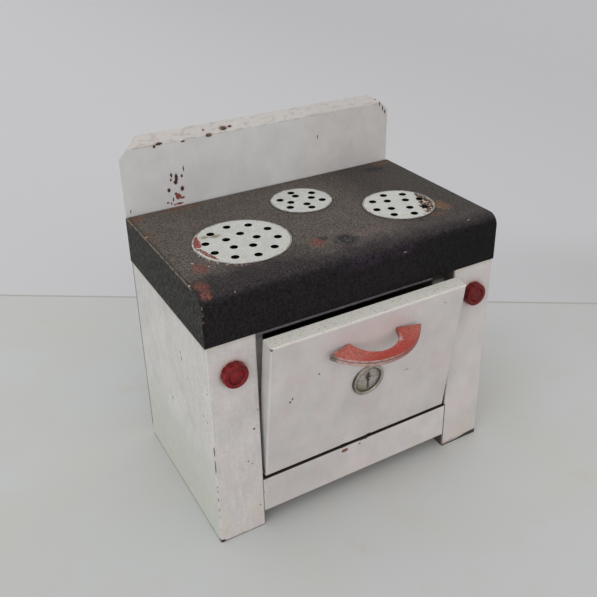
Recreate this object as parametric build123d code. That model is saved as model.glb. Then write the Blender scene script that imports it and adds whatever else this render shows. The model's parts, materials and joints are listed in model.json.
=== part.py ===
from build123d import *
from math import asin, atan2, cos, degrees, hypot, radians, sin, sqrt
import os

os.makedirs("parts", exist_ok=True)

# A child's electric range in folded and pressed sheet steel. Millimetres, +X to the right, +Y to
# the back, +Z up. It is drawn round the middle of the cooktop with the door shut. Then the door is
# swung to its rest pose, and the whole is moved so that the origin is on the floor under the middle
# of its bounding box.

# Cooktop: one pressed pan, open below
SHEET = 0.8  # the painted body sheet
WIDTH = 330.0
DEPTH = 197.7
COOKTOP_TOP = 281.6
SKIRT = 50.0
FRONT_BEND = 12.0
REAR_BEND = 3.0
COOKTOP_EDGE = 0.9
EMBOSS = 1.0  # the burners stand this much above the cooktop
EMBOSS_ROUND = 0.5
VENT_R = 4.0
# The large, the medium and the small burner: centres set in from the cooktop's edges, radii, and
# then an outer and an inner ring of holes each, with the angle of a ring's first hole
LARGE_CENTRE = (78.85 - WIDTH / 2, 82.8 - DEPTH / 2)
MEDIUM_CENTRE = (WIDTH / 2 - 71.55, 74.3 - DEPTH / 2)
SMALL_CENTRE = (11.65, DEPTH / 2 - 58.8)
CENTRES = (LARGE_CENTRE, MEDIUM_CENTRE, SMALL_CENTRE)
BURNER_RADII = (48.4, 38.3, 33.3)
OUTER_RING_R = (35.2, 27.7, 22.7)
OUTER_RING_HOLES = (10, 8, 6)
OUTER_RING_ANGLES = (90.0, 90.0, 90.0)
INNER_RING_R = (15.7, 14.0, 12.6)
INNER_RING_HOLES = (5, 4, 4)
INNER_RING_ANGLES = (71.0, 112.0, 90.0)

# Body: two folded side panels, each with its pilaster, a kick panel and a rear panel
BODY_GAP = 0.2  # between the cooktop's skirt and the body inside it
PILASTER = 49.4
BEND = 1.6  # outer radius of a fold in the body sheet
RETURN_DEPTH = 17.5
RETURN_LIP = 12.0
REAR_FLANGE = 13.0
KICK_RISE = 16.7  # open space under the kick panel
KICK_HEIGHT = 42.0
KICK_FLANGE = 12.0
REAR_RISE = 12.0
REAR_HEAD_GAP = 2.0  # under the cooktop's rear bend
VENT_SLOT_WIDTH = 4.0
VENT_SLOT_LENGTH = 28.0
VENT_SLOTS = 7
VENT_PITCH = 13.0
VENT_ROW_X = 26.0
VENT_ROWS_UP = (95.0, 190.0)

# Backsplash
SPLASH_INSET = 1.0  # from the cooktop's side
SPLASH_RISE = 72.3  # from the cooktop to the fold
SPLASH_TOP = 13.0  # length of the strip that bends back
SPLASH_SLOPE = 45.0
SPLASH_BEND = 2.5
SPLASH_CUT = 9.6  # height of the corner's cut below the fold
SPLASH_LAP = 46.0  # the sheet's reach down behind the skirt

# Door: a shallow pan hinged at its foot
DOOR_SIDE_GAP = 3.25
DOOR_SILL_GAP = 2.9
DOOR_HEAD_GAP = 4.6
DOOR_BACK_GAP = 2.0
DOOR_BEND = 2.0
DOOR_SWING = 90.0
DOOR_AJAR = 7.9  # how far it stands open at rest
HINGE_IN = 5.0  # the hinge axis, from the door's face
HINGE_UP = 5.0  # and from its lower edge
HINGE_PIN_R = 1.5
HINGE_HEAD_R = 3.0
HINGE_HEAD = 1.0
HINGE_PLAY = 0.3
SPACER_R = 3.4
STOP_STUD_R = 1.4
STOP_HEAD_R = 2.2
STOP_PLAY = 0.4  # all round in its slot
STOP_EDGE = 1.0  # sheet left between the slot and the fold
STOP_REACH = 1.2

# Crescent pull
PULL_UP = 138.7  # its middle plane above the door's lower edge
PULL_THICK = 6.8
PULL_REACH = 35.0
PULL_TIP_X = 52.5
PULL_TIP_OUT = 6.5
PULL_HEEL_X = 27.0
PULL_HEEL_OUT = 1.0
PULL_HOLLOW = 23.6  # from the door's face to the bottom of the finger hollow
PULL_EDGE = 0.5
PULL_GROOVE = 0.5  # depth of the groove round its edge
PULL_GROOVE_WIDTH = 0.8
PULL_GROOVE_UP = 0.9  # above its middle plane
PULL_FOOT_X = 30.5
PULL_FOOT_R = 2.0
PULL_SCREW_R = 1.2
PULL_SCREW_HEAD_R = 2.4
PULL_SCREW_HEAD = 1.4
PULL_SCREW_BITE = 9.0

# Dial thermometer
GAUGE_UP = 85.0  # its centre above the door's lower edge
BEZEL_WALL = 1.4  # round the cup's rim
BEZEL_LIP = 2.4  # over the dial, in from the cup's rim
BEZEL_HEIGHT = 3.2
BEZEL_LAND = 1.5
BEZEL_EDGE = 1.0
CUP_R = 15.0
CUP_DEPTH = 9.0
CUP_SHEET = 0.5
CUP_RIM = 1.6
DIAL_SHEET = 0.4
POINTER_SHEET = 0.5
POINTER_TIP = 10.9
POINTER_TAIL = 10.8
POINTER_HEAD_WIDTH = 6.2
POINTER_HEAD_LENGTH = 8.2
POINTER_STEM = 1.2
POINTER_LEAN = 4.0  # off the upright at rest, to the left
POINTER_HUB_R = 1.5
POINTER_HUB = 1.0
POINTER_LIFT = 0.5  # above the dial
STAFF_R = 0.6
STAFF_COLLAR_R = 1.5
STAFF_END = 0.6  # beyond the cup's back
BIMETAL_SHEET = 0.4
BIMETAL_WIDTH = 4.0
BIMETAL_START_R = 2.4
BIMETAL_PITCH = 2.2
BIMETAL_HALF_TURNS = 8

# Knobs
KNOB_UP = 197.5
KNOB_R = 12.6
KNOB_HEIGHT = 9.2
KNOB_RIM = 5.8
KNOB_FACE_R = 10.1
KNOB_RING_R = 7.2
KNOB_RING_DEPTH = 0.9
KNOB_FLUTES = 10
KNOB_FLUTE_R = 6.0
KNOB_FLUTE_DEPTH = 0.5
KNOB_SPIGOT_R = 4.0
KNOB_PLAY = 0.2  # along its axis, before and behind the sheet
KNOB_CLIP_R = 7.5
KNOB_CLIP = 1.0
KNOB_STUB = 0.8

# Oven liner and rack
LINER_SHEET = 0.6
LINER_BACK_ROOM = 27.4  # between the liner and the rear panel, for the inlet and its leads
MOUTH_SIDE = 11.35  # the mouth's edges, inside the door's
MOUTH_SILL = 10.4
MOUTH_HEAD = 11.3
MOUTH_ROUND = 1.6
FRAME_LAP = 10.0  # the frame's reach behind the pilaster
FRAME_TUCK = 5.0  # and behind the kick panel and the skirt
LEDGE_R = 3.0
LEDGE_END_GAP = 10.0  # before and behind each ledge
LEDGES_UP = (38.0, 84.0)  # above the liner's floor
RACK_WIRE_R = 1.5
RACK_ROD_R = 1.0
RACK_RODS = 9
RACK_SIDE_GAP = 0.9
RACK_LIFT = 0.3  # clear of the ledge
RACK_FRONT_GAP = 11.4
RACK_BACK_GAP = 2.0
RACK_CORNER = 6.0

# Heater under the large burner
SHELF_UP = 7.0  # above the skirt's lower edge
SHELF_FLANGE = 6.0
SHELF_FRONT_GAP = 5.0
SHELF_LEAD_GAP = 7.5
ELEMENT_R = 44.0
ELEMENT_THICK = 8.0
COIL_R = 2.0
COIL_PLAY = 0.05
COIL_RINGS = (32.0, 24.0, 16.0)
COIL_MERGE_R = 4.0
COIL_SPACE = 1.0  # between the first half turn and the lead-out
COIL_END = 36.0
TERMINAL = 6.0
TERMINAL_HEIGHT = 7.0
TERMINAL_EDGE = 0.8
TERMINAL_HEAD_R = 2.2
TERMINAL_HEAD = 1.4
BOLT_R = 2.0
BOLT_HEAD_R = 3.8
BOLT_HEAD = 2.4
NUT_ACROSS = 7.0
NUT_THICK = 2.8
BOLT_END = 1.5

# Appliance inlet in the rear panel
INLET_UP = 205.0
PIN_PITCH = 17.5
PIN_R = 2.4
PIN_OUT = 13.5
PIN_POINT = 0.9
PIN_LUG = 5.0
INLET_WIDTH = 36.0
INLET_HEIGHT = 18.0
INLET_DEPTH = 11.0
INLET_ROUND = 5.0
INLET_EAR = 4.0
INLET_EAR_R = 6.0
INLET_SCREW_PITCH = 50.0
INLET_WINDOW_GAP = 2.0
GUARD_WIDTH = 34.0
GUARD_HEIGHT = 20.0
GUARD_OUT = 15.0
GUARD_FLANGE = 4.0
LEAD_R = 1.6
LEAD_BEND = 10.0
LEAD_UP = 3.5  # above the plate, at the terminal

# Fasteners
FIT = 0.05  # radial clearance of a shank in its hole
DRILL = 6.0  # reach of the hole cutters
RIVET_R = 1.5
RIVET_HEAD_R = 2.9
RIVET_HEAD = 1.2
CLINCH_R = 2.3
CLINCH = 0.8
SCREW_R = 1.6
SCREW_HEAD_R = 3.3
SCREW_HEAD = 1.9
SCREW_BITE = 7.0
SCREW_POINT = 0.6
HEAD_ROUND = 0.45  # a screw head's rounding, as a share of its height
SLOT_WIDTH = 0.8
SLOT_DEPTH = 0.9
SPLASH_SCREWS_UP = 12.0  # above the skirt's lower edge
SPLASH_SCREWS_X = (-140.0, -50.0, 50.0, 140.0)
REAR_SCREWS_UP = (20.0, 110.0, 200.0)  # above the rear panel's lower edge
KICK_RIVETS_UP = (10.5, 31.5)  # above the kick panel's lower edge
KICK_RIVETS_IN = 7.0
FRAME_RIVETS_UP = (20.0, 75.0, 130.0)  # above the liner's floor

# Planes and places that the pieces share
SKIRT_BOTTOM = COOKTOP_TOP - SKIRT
BODY_HALF = WIDTH / 2 - SHEET - BODY_GAP
BODY_BACK = DEPTH / 2 - SHEET - BODY_GAP
BODY_FRONT = -BODY_BACK
BODY_TOP = COOKTOP_TOP - SHEET
FOLDS_TOP = COOKTOP_TOP - FRONT_BEND - SHEET  # the folds stop below the cooktop's front bend
OPENING_HALF = BODY_HALF - PILASTER
FRAME_Y = BODY_FRONT + RETURN_DEPTH
KICK_TOP = KICK_RISE + KICK_HEIGHT
DOOR_Z = KICK_TOP + DOOR_SILL_GAP
DOOR_HALF = OPENING_HALF - DOOR_SIDE_GAP
DOOR_HEIGHT = SKIRT_BOTTOM - DOOR_HEAD_GAP - DOOR_Z
DOOR_DEPTH = RETURN_DEPTH - DOOR_BACK_GAP
HINGE_Y = BODY_FRONT + HINGE_IN
HINGE_Z = DOOR_Z + HINGE_UP
STOP_SLOT_HALF = STOP_STUD_R + STOP_PLAY
STOP_ARM = RETURN_DEPTH - HINGE_IN - BEND - STOP_EDGE - STOP_SLOT_HALF
PULL_Z = DOOR_Z + PULL_UP
RIM_R = CUP_R + CUP_RIM  # the dial's and the cup's rim
BEZEL_R = RIM_R + BEZEL_WALL
BEZEL_OPEN_R = RIM_R - BEZEL_LIP
GAUGE_Z = DOOR_Z + GAUGE_UP
KNOB_X = (BODY_HALF + OPENING_HALF) / 2
LINER_HALF = DOOR_HALF - MOUTH_SIDE
LINER_FLOOR = DOOR_Z + MOUTH_SILL
LINER_TOP = DOOR_Z + DOOR_HEIGHT - MOUTH_HEAD
SHELF_TOP = SKIRT_BOTTOM + SHELF_UP
ELEMENT_X, ELEMENT_Y = LARGE_CENTRE
ELEMENT_TOP = SHELF_TOP + ELEMENT_THICK
LEAD_X = PIN_PITCH / 2
INLET_Y = BODY_BACK - SHEET  # the rear panel's inner face
LINER_BACK = INLET_Y - LINER_BACK_ROOM
LINER_DEPTH = LINER_BACK - FRAME_Y
LEAD_Y = INLET_Y - INLET_DEPTH - PIN_LUG / 2
SPLASH_Y = DEPTH / 2

SIDES = (-1, 1)
LEFT = (-1, 0, 0)
RIGHT = (1, 0, 0)
FORWARD = (0, -1, 0)
BACKWARD = (0, 1, 0)
UP = (0, 0, 1)
DOWN = (0, 0, -1)
STANDING = (Align.CENTER, Align.CENTER, Align.MIN)

# Fastener places, on the outer face of the sheet that they go through
SPLASH_SCREWS = [(x, SPLASH_Y, SKIRT_BOTTOM + SPLASH_SCREWS_UP) for x in SPLASH_SCREWS_X]
REAR_SCREWS = [
    (side * (BODY_HALF - REAR_FLANGE / 2), BODY_BACK, REAR_RISE + up)
    for side in SIDES
    for up in REAR_SCREWS_UP
]
KICK_RIVETS = [
    (side * OPENING_HALF, BODY_FRONT + KICK_RIVETS_IN, KICK_RISE + up)
    for side in SIDES
    for up in KICK_RIVETS_UP
]
FRAME_RIVETS = [
    (side * (OPENING_HALF + RETURN_LIP / 2), FRAME_Y, LINER_FLOOR + up)
    for side in SIDES
    for up in FRAME_RIVETS_UP
]
INLET_SCREWS = [(ELEMENT_X + side * INLET_SCREW_PITCH / 2, BODY_BACK, INLET_UP) for side in SIDES]
PULL_SCREWS = [(side * PULL_FOOT_X, BODY_FRONT, PULL_Z) for side in SIDES]


def put(shape, point, axis):
    """The shape with its origin moved to the point and its +Z turned to the axis."""
    return Plane(origin=point, z_dir=axis).location * shape


def drilled(shape, radius, axis, points):
    """The shape with a round hole at each point, through one thickness of sheet."""
    return shape - [put(Cylinder(radius, DRILL), point, axis) for point in points]


def mirrored(shape):
    """The shape on the other side of the middle plane."""
    return shape.mirror(Plane.YZ)


def on_both_sides(shape):
    """The shape and its mirror image, as two solids of one node."""
    return Compound([shape, mirrored(shape)])


def disc(radius, height):
    """A cylinder that stands on its origin."""
    return Cylinder(radius, height, align=STANDING)


def folded(points, bend, side):
    """The section of the body sheet whose outer face runs along the points, with rounded folds."""
    outer = FilletPolyline(*points, radius=bend).wires()[0]
    return Face(outer.offset_2d(SHEET, side=side, closed=True))


def arcs(start, direction, turns):
    """Tangent arcs laid end to end, each with a radius and a turn in degrees, left turns positive."""
    edges = []
    for radius, turn in turns:
        edges.append(JernArc(start=start, tangent=direction, radius=radius, arc_size=turn))
        start, direction = edges[-1] @ 1, edges[-1] % 1
    return edges


def swept(path, section):
    """The solid that the section leaves along a path that starts level, its X kept upright."""
    return sweep(Plane(origin=path @ 0, x_dir=UP, z_dir=path % 0) * section, path=path)


def pan(half, height, depth, bend):
    """A shallow sheet pan: its face at y = 0 and its rim back to y = depth, standing on z = 0."""

    def block(inset):
        middle = Pos(0, inset + depth / 2, height / 2)
        solid = middle * Box(2 * (half - inset), depth, height - 2 * inset)
        return fillet(solid.edges().group_by(Axis.Y)[0], bend - inset)

    return (block(0) - block(SHEET)) & Pos(0, depth / 2, 0) * Box(4 * half, depth, 4 * height)


def rivet(grip):
    """A rivet along +Z: its domed head below z = 0, its clinched end above z = grip."""
    dome = TangentArc((0, -RIVET_HEAD), (RIVET_HEAD_R, 0), tangent=(1, 0))
    head = make_face(dome + Polyline((RIVET_HEAD_R, 0), (0, 0), (0, -RIVET_HEAD)))
    solid = revolve(Plane.XZ * head, Axis.Z) + disc(RIVET_R, grip)
    return solid + Pos(0, 0, grip) * disc(CLINCH_R, CLINCH)


def screw(radius, length, head_r, head):
    """A slotted pan-head screw along +Z: its head below z = 0, its blunt point at z = length."""
    cap = Pos(0, 0, -head) * disc(head_r, head)
    cap = fillet(cap.edges().group_by(Axis.Z)[0], head * HEAD_ROUND)
    cap -= Pos(0, 0, -head) * Box(3 * head_r, SLOT_WIDTH, 2 * SLOT_DEPTH)
    shank = disc(radius, length)
    return cap + chamfer(shank.edges().group_by(Axis.Z)[-1], SCREW_POINT)


def fastened(piece, points, axis, grip):
    """One fastener at each point, its seat outside the sheets that it grips before the point."""
    seats = [Vector(*point) - Vector(*axis) * grip for point in points]
    return Compound([put(piece, seat, axis) for seat in seats])


def body_screws(points, grip):
    """The screws that go in from behind."""
    return fastened(screw(SCREW_R, SCREW_BITE, SCREW_HEAD_R, SCREW_HEAD), points, FORWARD, grip)


def cooktop_block(inset):
    """The cooktop's solid form, with its faces moved inward by the inset."""
    depth, height = DEPTH - 2 * inset, SKIRT - inset
    profile = Pos(0, SKIRT_BOTTOM) * Rectangle(depth, height, align=(Align.CENTER, Align.MIN))
    for end, radius in ((0, FRONT_BEND), (-1, REAR_BEND)):
        corners = profile.vertices().group_by(Axis.Y)[-1].sort_by(Axis.X)
        profile = fillet(corners[end], radius - inset)
    return extrude(Plane.YZ * profile, amount=WIDTH / 2 - inset, both=True)


def plateau(radius, inset):
    """The solid form of a raised burner, with its faces moved inward by the inset."""
    shrink = inset * (sqrt(2) - 1)  # its flank slopes at 45 degrees
    return Pos(0, 0, COOKTOP_TOP - inset) * Cone(
        radius + EMBOSS - shrink, radius - shrink, EMBOSS, align=STANDING
    )


def make_cooktop():
    """The pressed cooktop: a skirt all round, raised burners and the vent holes through them."""
    outer, inner = cooktop_block(0), cooktop_block(SHEET)
    ends = outer.edges().filter_by(lambda e: abs(e.center().X) > WIDTH / 2 - SHEET)
    outer = fillet(ends.filter_by(lambda e: e.center().Z > SKIRT_BOTTOM + SHEET), COOKTOP_EDGE)
    for centre, radius in zip(CENTRES, BURNER_RADII):
        raised = plateau(radius, 0)
        outer += Pos(*centre) * fillet(raised.edges().group_by(Axis.Z)[-1], EMBOSS_ROUND)
        inner += Pos(*centre) * plateau(radius, SHEET)
    holes = []
    for ring in (
        zip(CENTRES, OUTER_RING_R, OUTER_RING_HOLES, OUTER_RING_ANGLES),
        zip(CENTRES, INNER_RING_R, INNER_RING_HOLES, INNER_RING_ANGLES),
    ):
        for (x, y), ring_r, count, first in ring:
            angles = [radians(first - 360 * i / count) for i in range(count)]
            holes += [(x + ring_r * cos(a), y + ring_r * sin(a), COOKTOP_TOP) for a in angles]
    cooktop = drilled(outer - inner, VENT_R, UP, holes)
    return drilled(cooktop, SCREW_R + FIT, BACKWARD, SPLASH_SCREWS)


def make_backsplash():
    """The sheet behind the cooktop, its top strip bent back and its upper corners cut off."""
    fold = COOKTOP_TOP + SPLASH_RISE
    half = WIDTH / 2 - SPLASH_INSET
    back = SPLASH_TOP * cos(radians(SPLASH_SLOPE))
    rise = SPLASH_TOP * sin(radians(SPLASH_SLOPE))
    foot = (SPLASH_Y, COOKTOP_TOP - SPLASH_LAP)
    line = (foot, (SPLASH_Y, fold), (SPLASH_Y + back, fold + rise))
    sheet = extrude(Plane.YZ * folded(line, SPLASH_BEND, Side.RIGHT), amount=half, both=True)
    corner = Polyline(
        (half + SHEET, fold - SPLASH_CUT - SHEET),
        (half - SPLASH_CUT, fold),
        (half - SPLASH_CUT - SPLASH_TOP, fold + rise),
        (half - SPLASH_CUT - SPLASH_TOP, fold + 2 * rise),
        (half + SHEET, fold + 2 * rise),
        close=True,
    )
    cutter = extrude(Plane.XZ * make_face(corner), amount=2 * DEPTH, dir=BACKWARD)
    return drilled(sheet - [cutter, mirrored(cutter)], SCREW_R + FIT, BACKWARD, SPLASH_SCREWS)


def stop_place(swing):
    """The y and z of the stop stud with the door open by this angle: level with the hinge if shut."""
    angle = radians(swing)
    return HINGE_Y + STOP_ARM * cos(angle), HINGE_Z + STOP_ARM * sin(angle)


def make_side_panel():
    """The right side panel: rear flange, wall, pilaster, return and lip, folded from one sheet."""
    line = (
        (BODY_HALF - REAR_FLANGE, INLET_Y),
        (BODY_HALF, INLET_Y),
        (BODY_HALF, BODY_FRONT),
        (OPENING_HALF, BODY_FRONT),
        (OPENING_HALF, FRAME_Y),
        (OPENING_HALF + RETURN_LIP, FRAME_Y),
    )
    panel = extrude(folded(line, BEND, Side.RIGHT), amount=BODY_TOP, dir=UP)
    # Above the folds only the wall goes on, clear of the cooktop's bends
    above = Pos(0, 0, FOLDS_TOP) * Box(2 * WIDTH, 2 * DEPTH, BODY_TOP, align=STANDING)
    wall_depth = DEPTH - 2 * (FRONT_BEND + SHEET)
    wall = Pos(BODY_HALF, 0, FOLDS_TOP) * Box(2 * SHEET, wall_depth, BODY_TOP, align=STANDING)
    path = ThreePointArc(*[stop_place(DOOR_SWING * share) for share in (0, 0.5, 1)])
    slot = extrude(Plane.YZ * SlotArc(path, 2 * STOP_SLOT_HALF), amount=DRILL / 2, both=True)
    panel -= [above - wall, Pos(OPENING_HALF, 0, 0) * slot]
    panel = drilled(panel, KNOB_SPIGOT_R + FIT, BACKWARD, [(KNOB_X, BODY_FRONT, KNOB_UP)])
    panel = drilled(panel, HINGE_PIN_R + FIT, RIGHT, [(OPENING_HALF, HINGE_Y, HINGE_Z)])
    panel = drilled(panel, RIVET_R + FIT, RIGHT, KICK_RIVETS)
    panel = drilled(panel, RIVET_R + FIT, BACKWARD, FRAME_RIVETS)
    return drilled(panel, SCREW_R + FIT, BACKWARD, REAR_SCREWS)


def make_kick_panel():
    """The flanged panel under the door, riveted between the returns."""
    panel = Pos(0, BODY_FRONT, KICK_RISE) * pan(OPENING_HALF, KICK_HEIGHT, KICK_FLANGE, BEND)
    return drilled(panel, RIVET_R + FIT, RIGHT, KICK_RIVETS)


def make_rear_panel():
    """The flat back, with two rows of vent slots and the window of the inlet."""
    height = COOKTOP_TOP - REAR_BEND - REAR_HEAD_GAP - REAR_RISE
    sheet = Box(2 * BODY_HALF, SHEET, height, align=STANDING)
    plate = Pos(0, BODY_BACK - SHEET / 2, REAR_RISE) * sheet
    slot = Plane.XZ * (Rot(0, 0, 90) * SlotOverall(VENT_SLOT_LENGTH, VENT_SLOT_WIDTH))
    slot = extrude(slot, amount=DRILL / 2, both=True)
    first = VENT_ROW_X - (VENT_SLOTS - 1) / 2 * VENT_PITCH
    cuts = [
        Pos(first + i * VENT_PITCH, BODY_BACK, up) * slot
        for up in VENT_ROWS_UP
        for i in range(VENT_SLOTS)
    ]
    tall = 2 * (PIN_R + INLET_WINDOW_GAP)
    window = extrude(Plane.XZ * SlotOverall(PIN_PITCH + tall, tall), amount=DRILL / 2, both=True)
    cuts.append(Pos(ELEMENT_X, BODY_BACK, INLET_UP) * window)
    screws = REAR_SCREWS + SPLASH_SCREWS + INLET_SCREWS
    return drilled(plate - cuts, SCREW_R + FIT, BACKWARD, screws)


def ledge_core(radius):
    """A round-ended bar along Y, which a ledge of the liner is pressed over."""
    straight = LINER_DEPTH - 2 * LEDGE_END_GAP - 2 * LEDGE_R
    bar = put(Cylinder(radius, straight), (0, 0, 0), BACKWARD)
    return bar + [Pos(0, side * straight / 2, 0) * Sphere(radius) for side in SIDES]


def make_liner():
    """The oven box: a frame round its mouth, a closed back and two pressed ledges on each side."""
    tall = LINER_TOP - LINER_FLOOR
    middle = Pos(0, FRAME_Y + LINER_DEPTH / 2, (LINER_TOP + LINER_FLOOR) / 2)
    box = Box(2 * (LINER_HALF + LINER_SHEET), LINER_DEPTH, tall + 2 * LINER_SHEET)
    liner = middle * fillet(box.edges().filter_by(Axis.Y), MOUTH_ROUND + LINER_SHEET)
    low, high = KICK_TOP - FRAME_TUCK, SKIRT_BOTTOM + FRAME_TUCK
    frame = Box(2 * (OPENING_HALF + FRAME_LAP), LINER_SHEET, high - low, align=STANDING)
    liner += Pos(0, FRAME_Y + LINER_SHEET / 2, low) * frame
    room = Box(2 * LINER_HALF, LINER_DEPTH, tall)
    room = fillet(room.edges().filter_by(Axis.Y), MOUTH_ROUND)
    liner -= middle * Pos(0, -LINER_SHEET, 0) * room
    outer, inner = ledge_core(LEDGE_R), ledge_core(LEDGE_R - LINER_SHEET)
    for side in SIDES:
        inside = Pos(-side * LEDGE_R, 0, 0) * Box(2 * LEDGE_R, LINER_DEPTH, 4 * LEDGE_R)
        for up in LEDGES_UP:
            place = Pos(side * LINER_HALF, FRAME_Y + LINER_DEPTH / 2, LINER_FLOOR + up)
            liner -= place * inner
            liner += place * ((outer - inner) & inside)
    return drilled(liner, RIVET_R + FIT, BACKWARD, FRAME_RIVETS)


def make_rack():
    """The welded wire rack that slides on the lower ledges."""
    half = LINER_HALF - RACK_SIDE_GAP - RACK_WIRE_R
    front = FRAME_Y + RACK_FRONT_GAP
    back = LINER_BACK - LINER_SHEET - RACK_BACK_GAP - RACK_WIRE_R
    reach = LEDGE_R + RACK_WIRE_R + RACK_LIFT
    level = LINER_FLOOR + LEDGES_UP[0] + sqrt(reach**2 - (LINER_HALF - half) ** 2)
    middle = Pos(0, (front + back) / 2, level)
    outline = middle * RectangleRounded(2 * half, back - front, RACK_CORNER)
    rim = swept(outline.wires()[0], Circle(RACK_WIRE_R))
    rod = middle * put(Cylinder(RACK_ROD_R, back - front), (0, 0, 0), BACKWARD)
    pitch = 2 * half / (RACK_RODS + 1)
    return rim + [Pos((i + 1) * pitch - half, 0, 0) * rod for i in range(RACK_RODS)]


def make_shelf():
    """The shelf over the liner that carries the element, spot-welded to the side panels."""
    half = BODY_HALF - SHEET
    low = SHELF_TOP - SHEET - SHELF_FLANGE
    line = ((-half, low), (-half, SHELF_TOP), (half, SHELF_TOP), (half, low))
    front, back = FRAME_Y + SHELF_FRONT_GAP, LEAD_Y - SHELF_LEAD_GAP
    section = Plane.XZ * folded(line, BEND, Side.RIGHT)
    shelf = Pos(0, front, 0) * extrude(section, amount=back - front, dir=BACKWARD)
    return drilled(shelf, BOLT_R + FIT, UP, [(ELEMENT_X, ELEMENT_Y, SHELF_TOP)])


def turn_angle(outer_r, inner_r, tip_x):
    """The angle off the rear where two rings end in a half turn, so that its tip is at this x."""
    middle, half = (outer_r + inner_r) / 2, (outer_r - inner_r) / 2
    return degrees(atan2(half, middle) + asin(tip_x / hypot(middle, half)))


def make_element():
    """The heating coil, out round each ring and back round the next, and its grooved ceramic plate."""
    outer_r, middle_r, inner_r = COIL_RINGS
    entry = degrees(asin((LEAD_X + COIL_MERGE_R) / (outer_r + COIL_MERGE_R)))
    leave = degrees(asin((LEAD_X + COIL_MERGE_R) / (inner_r + COIL_MERGE_R)))
    first = turn_angle(outer_r, middle_r, LEAD_X + 2 * COIL_R + COIL_SPACE)
    second = turn_angle(middle_r, inner_r, 0)
    turns = (
        (COIL_MERGE_R, entry - 90),
        (outer_r, 360 - entry - first),
        ((outer_r - middle_r) / 2, 180),
        (middle_r, first + second - 360),
        ((middle_r - inner_r) / 2, -180),
        (inner_r, 360 - second - leave),
        (COIL_MERGE_R, leave - 90),
    )
    start_y = (outer_r + COIL_MERGE_R) * cos(radians(entry))
    bends = arcs((-LEAD_X, start_y), FORWARD[:2], turns)
    lead_in = Line((-LEAD_X, COIL_END), (-LEAD_X, start_y))
    lead_out = Line(bends[-1] @ 1, (LEAD_X, COIL_END))
    path = Wire([lead_in, *bends, lead_out]).moved(Location((ELEMENT_X, ELEMENT_Y, ELEMENT_TOP)))
    plate = Pos(ELEMENT_X, ELEMENT_Y, SHELF_TOP) * disc(ELEMENT_R, ELEMENT_THICK)
    bore = Pos(ELEMENT_X, ELEMENT_Y, SHELF_TOP) * disc(BOLT_R + FIT, ELEMENT_THICK)
    plate -= [bore, swept(path, Circle(COIL_R + COIL_PLAY))]
    return swept(path, Circle(COIL_R)), plate


def make_terminal():
    """A brass terminal block with its clamping screw, standing behind the coil's end."""
    block = Box(TERMINAL, TERMINAL, TERMINAL_HEIGHT, align=STANDING)
    block = chamfer(block.edges().filter_by(Axis.Z), TERMINAL_EDGE)
    head = Pos(0, 0, TERMINAL_HEIGHT) * disc(TERMINAL_HEAD_R, TERMINAL_HEAD)
    slot = Box(TERMINAL, SLOT_WIDTH, 2 * SLOT_DEPTH)
    return block + (head - Pos(0, 0, TERMINAL_HEIGHT + TERMINAL_HEAD) * slot)


def make_nut():
    """The hexagon nut under the shelf, drawn standing on its origin."""
    hexagon = RegularPolygon(NUT_ACROSS / 2, 6, major_radius=False)
    return extrude(hexagon, amount=NUT_THICK) - disc(BOLT_R, NUT_THICK)


def make_lead():
    """A sleeved lead, from the back of its terminal over the shelf's edge and down to the pin."""
    level = ELEMENT_TOP + LEAD_UP
    start = (0, ELEMENT_Y + COIL_END + TERMINAL, level)
    line = FilletPolyline(start, (0, LEAD_Y, level), (0, LEAD_Y, INLET_UP + PIN_R), radius=LEAD_BEND)
    return swept(line.wires()[0], Circle(LEAD_R))


def make_pin():
    """An inlet pin, from a square lug inside, through the insulator and out behind the panel."""
    inner = INLET_Y - INLET_DEPTH
    pin = disc(PIN_R, BODY_BACK + PIN_OUT - inner)
    pin = chamfer(pin.edges().group_by(Axis.Z)[-1], PIN_POINT)
    lug = Pos(0, 0, -PIN_LUG) * Box(2 * PIN_R, 2 * PIN_R, PIN_LUG, align=STANDING)
    return put(pin + lug, (0, inner, INLET_UP), BACKWARD)


def inlet_ears():
    """The outline of the two ears that the inlet's screws go through."""
    return SlotOverall(INLET_SCREW_PITCH + 2 * INLET_EAR_R, 2 * INLET_EAR_R)


def make_insulator():
    """The inlet's insulator behind the rear panel, with an ear for each screw."""
    body = RectangleRounded(INLET_WIDTH, INLET_HEIGHT, INLET_ROUND)
    body = extrude(Plane.XZ * body, amount=INLET_DEPTH)
    body += extrude(Plane.XZ * inlet_ears(), amount=INLET_EAR)
    body -= [put(disc(PIN_R, INLET_DEPTH), (side * LEAD_X, 0, 0), FORWARD) for side in SIDES]
    body = Pos(ELEMENT_X, INLET_Y, INLET_UP) * body
    return body - [put(disc(SCREW_R + FIT, DRILL), place, FORWARD) for place in INLET_SCREWS]


def make_guard():
    """The pressed guard round the pins, flanged against the rear panel."""
    tube = RectangleRounded(GUARD_WIDTH, GUARD_HEIGHT, INLET_ROUND)
    room = RectangleRounded(GUARD_WIDTH - 2 * SHEET, GUARD_HEIGHT - 2 * SHEET, INLET_ROUND - SHEET)
    rim = RectangleRounded(
        GUARD_WIDTH + 2 * GUARD_FLANGE, GUARD_HEIGHT + 2 * GUARD_FLANGE, INLET_ROUND + GUARD_FLANGE
    )
    guard = extrude(Plane.XZ * (inlet_ears() + rim), amount=-SHEET)
    guard += extrude(Plane.XZ * tube, amount=-GUARD_OUT)
    guard -= extrude(Plane.XZ * room, amount=-GUARD_OUT)
    guard = Pos(ELEMENT_X, BODY_BACK, INLET_UP) * guard
    return drilled(guard, SCREW_R + FIT, BACKWARD, INLET_SCREWS)


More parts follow.
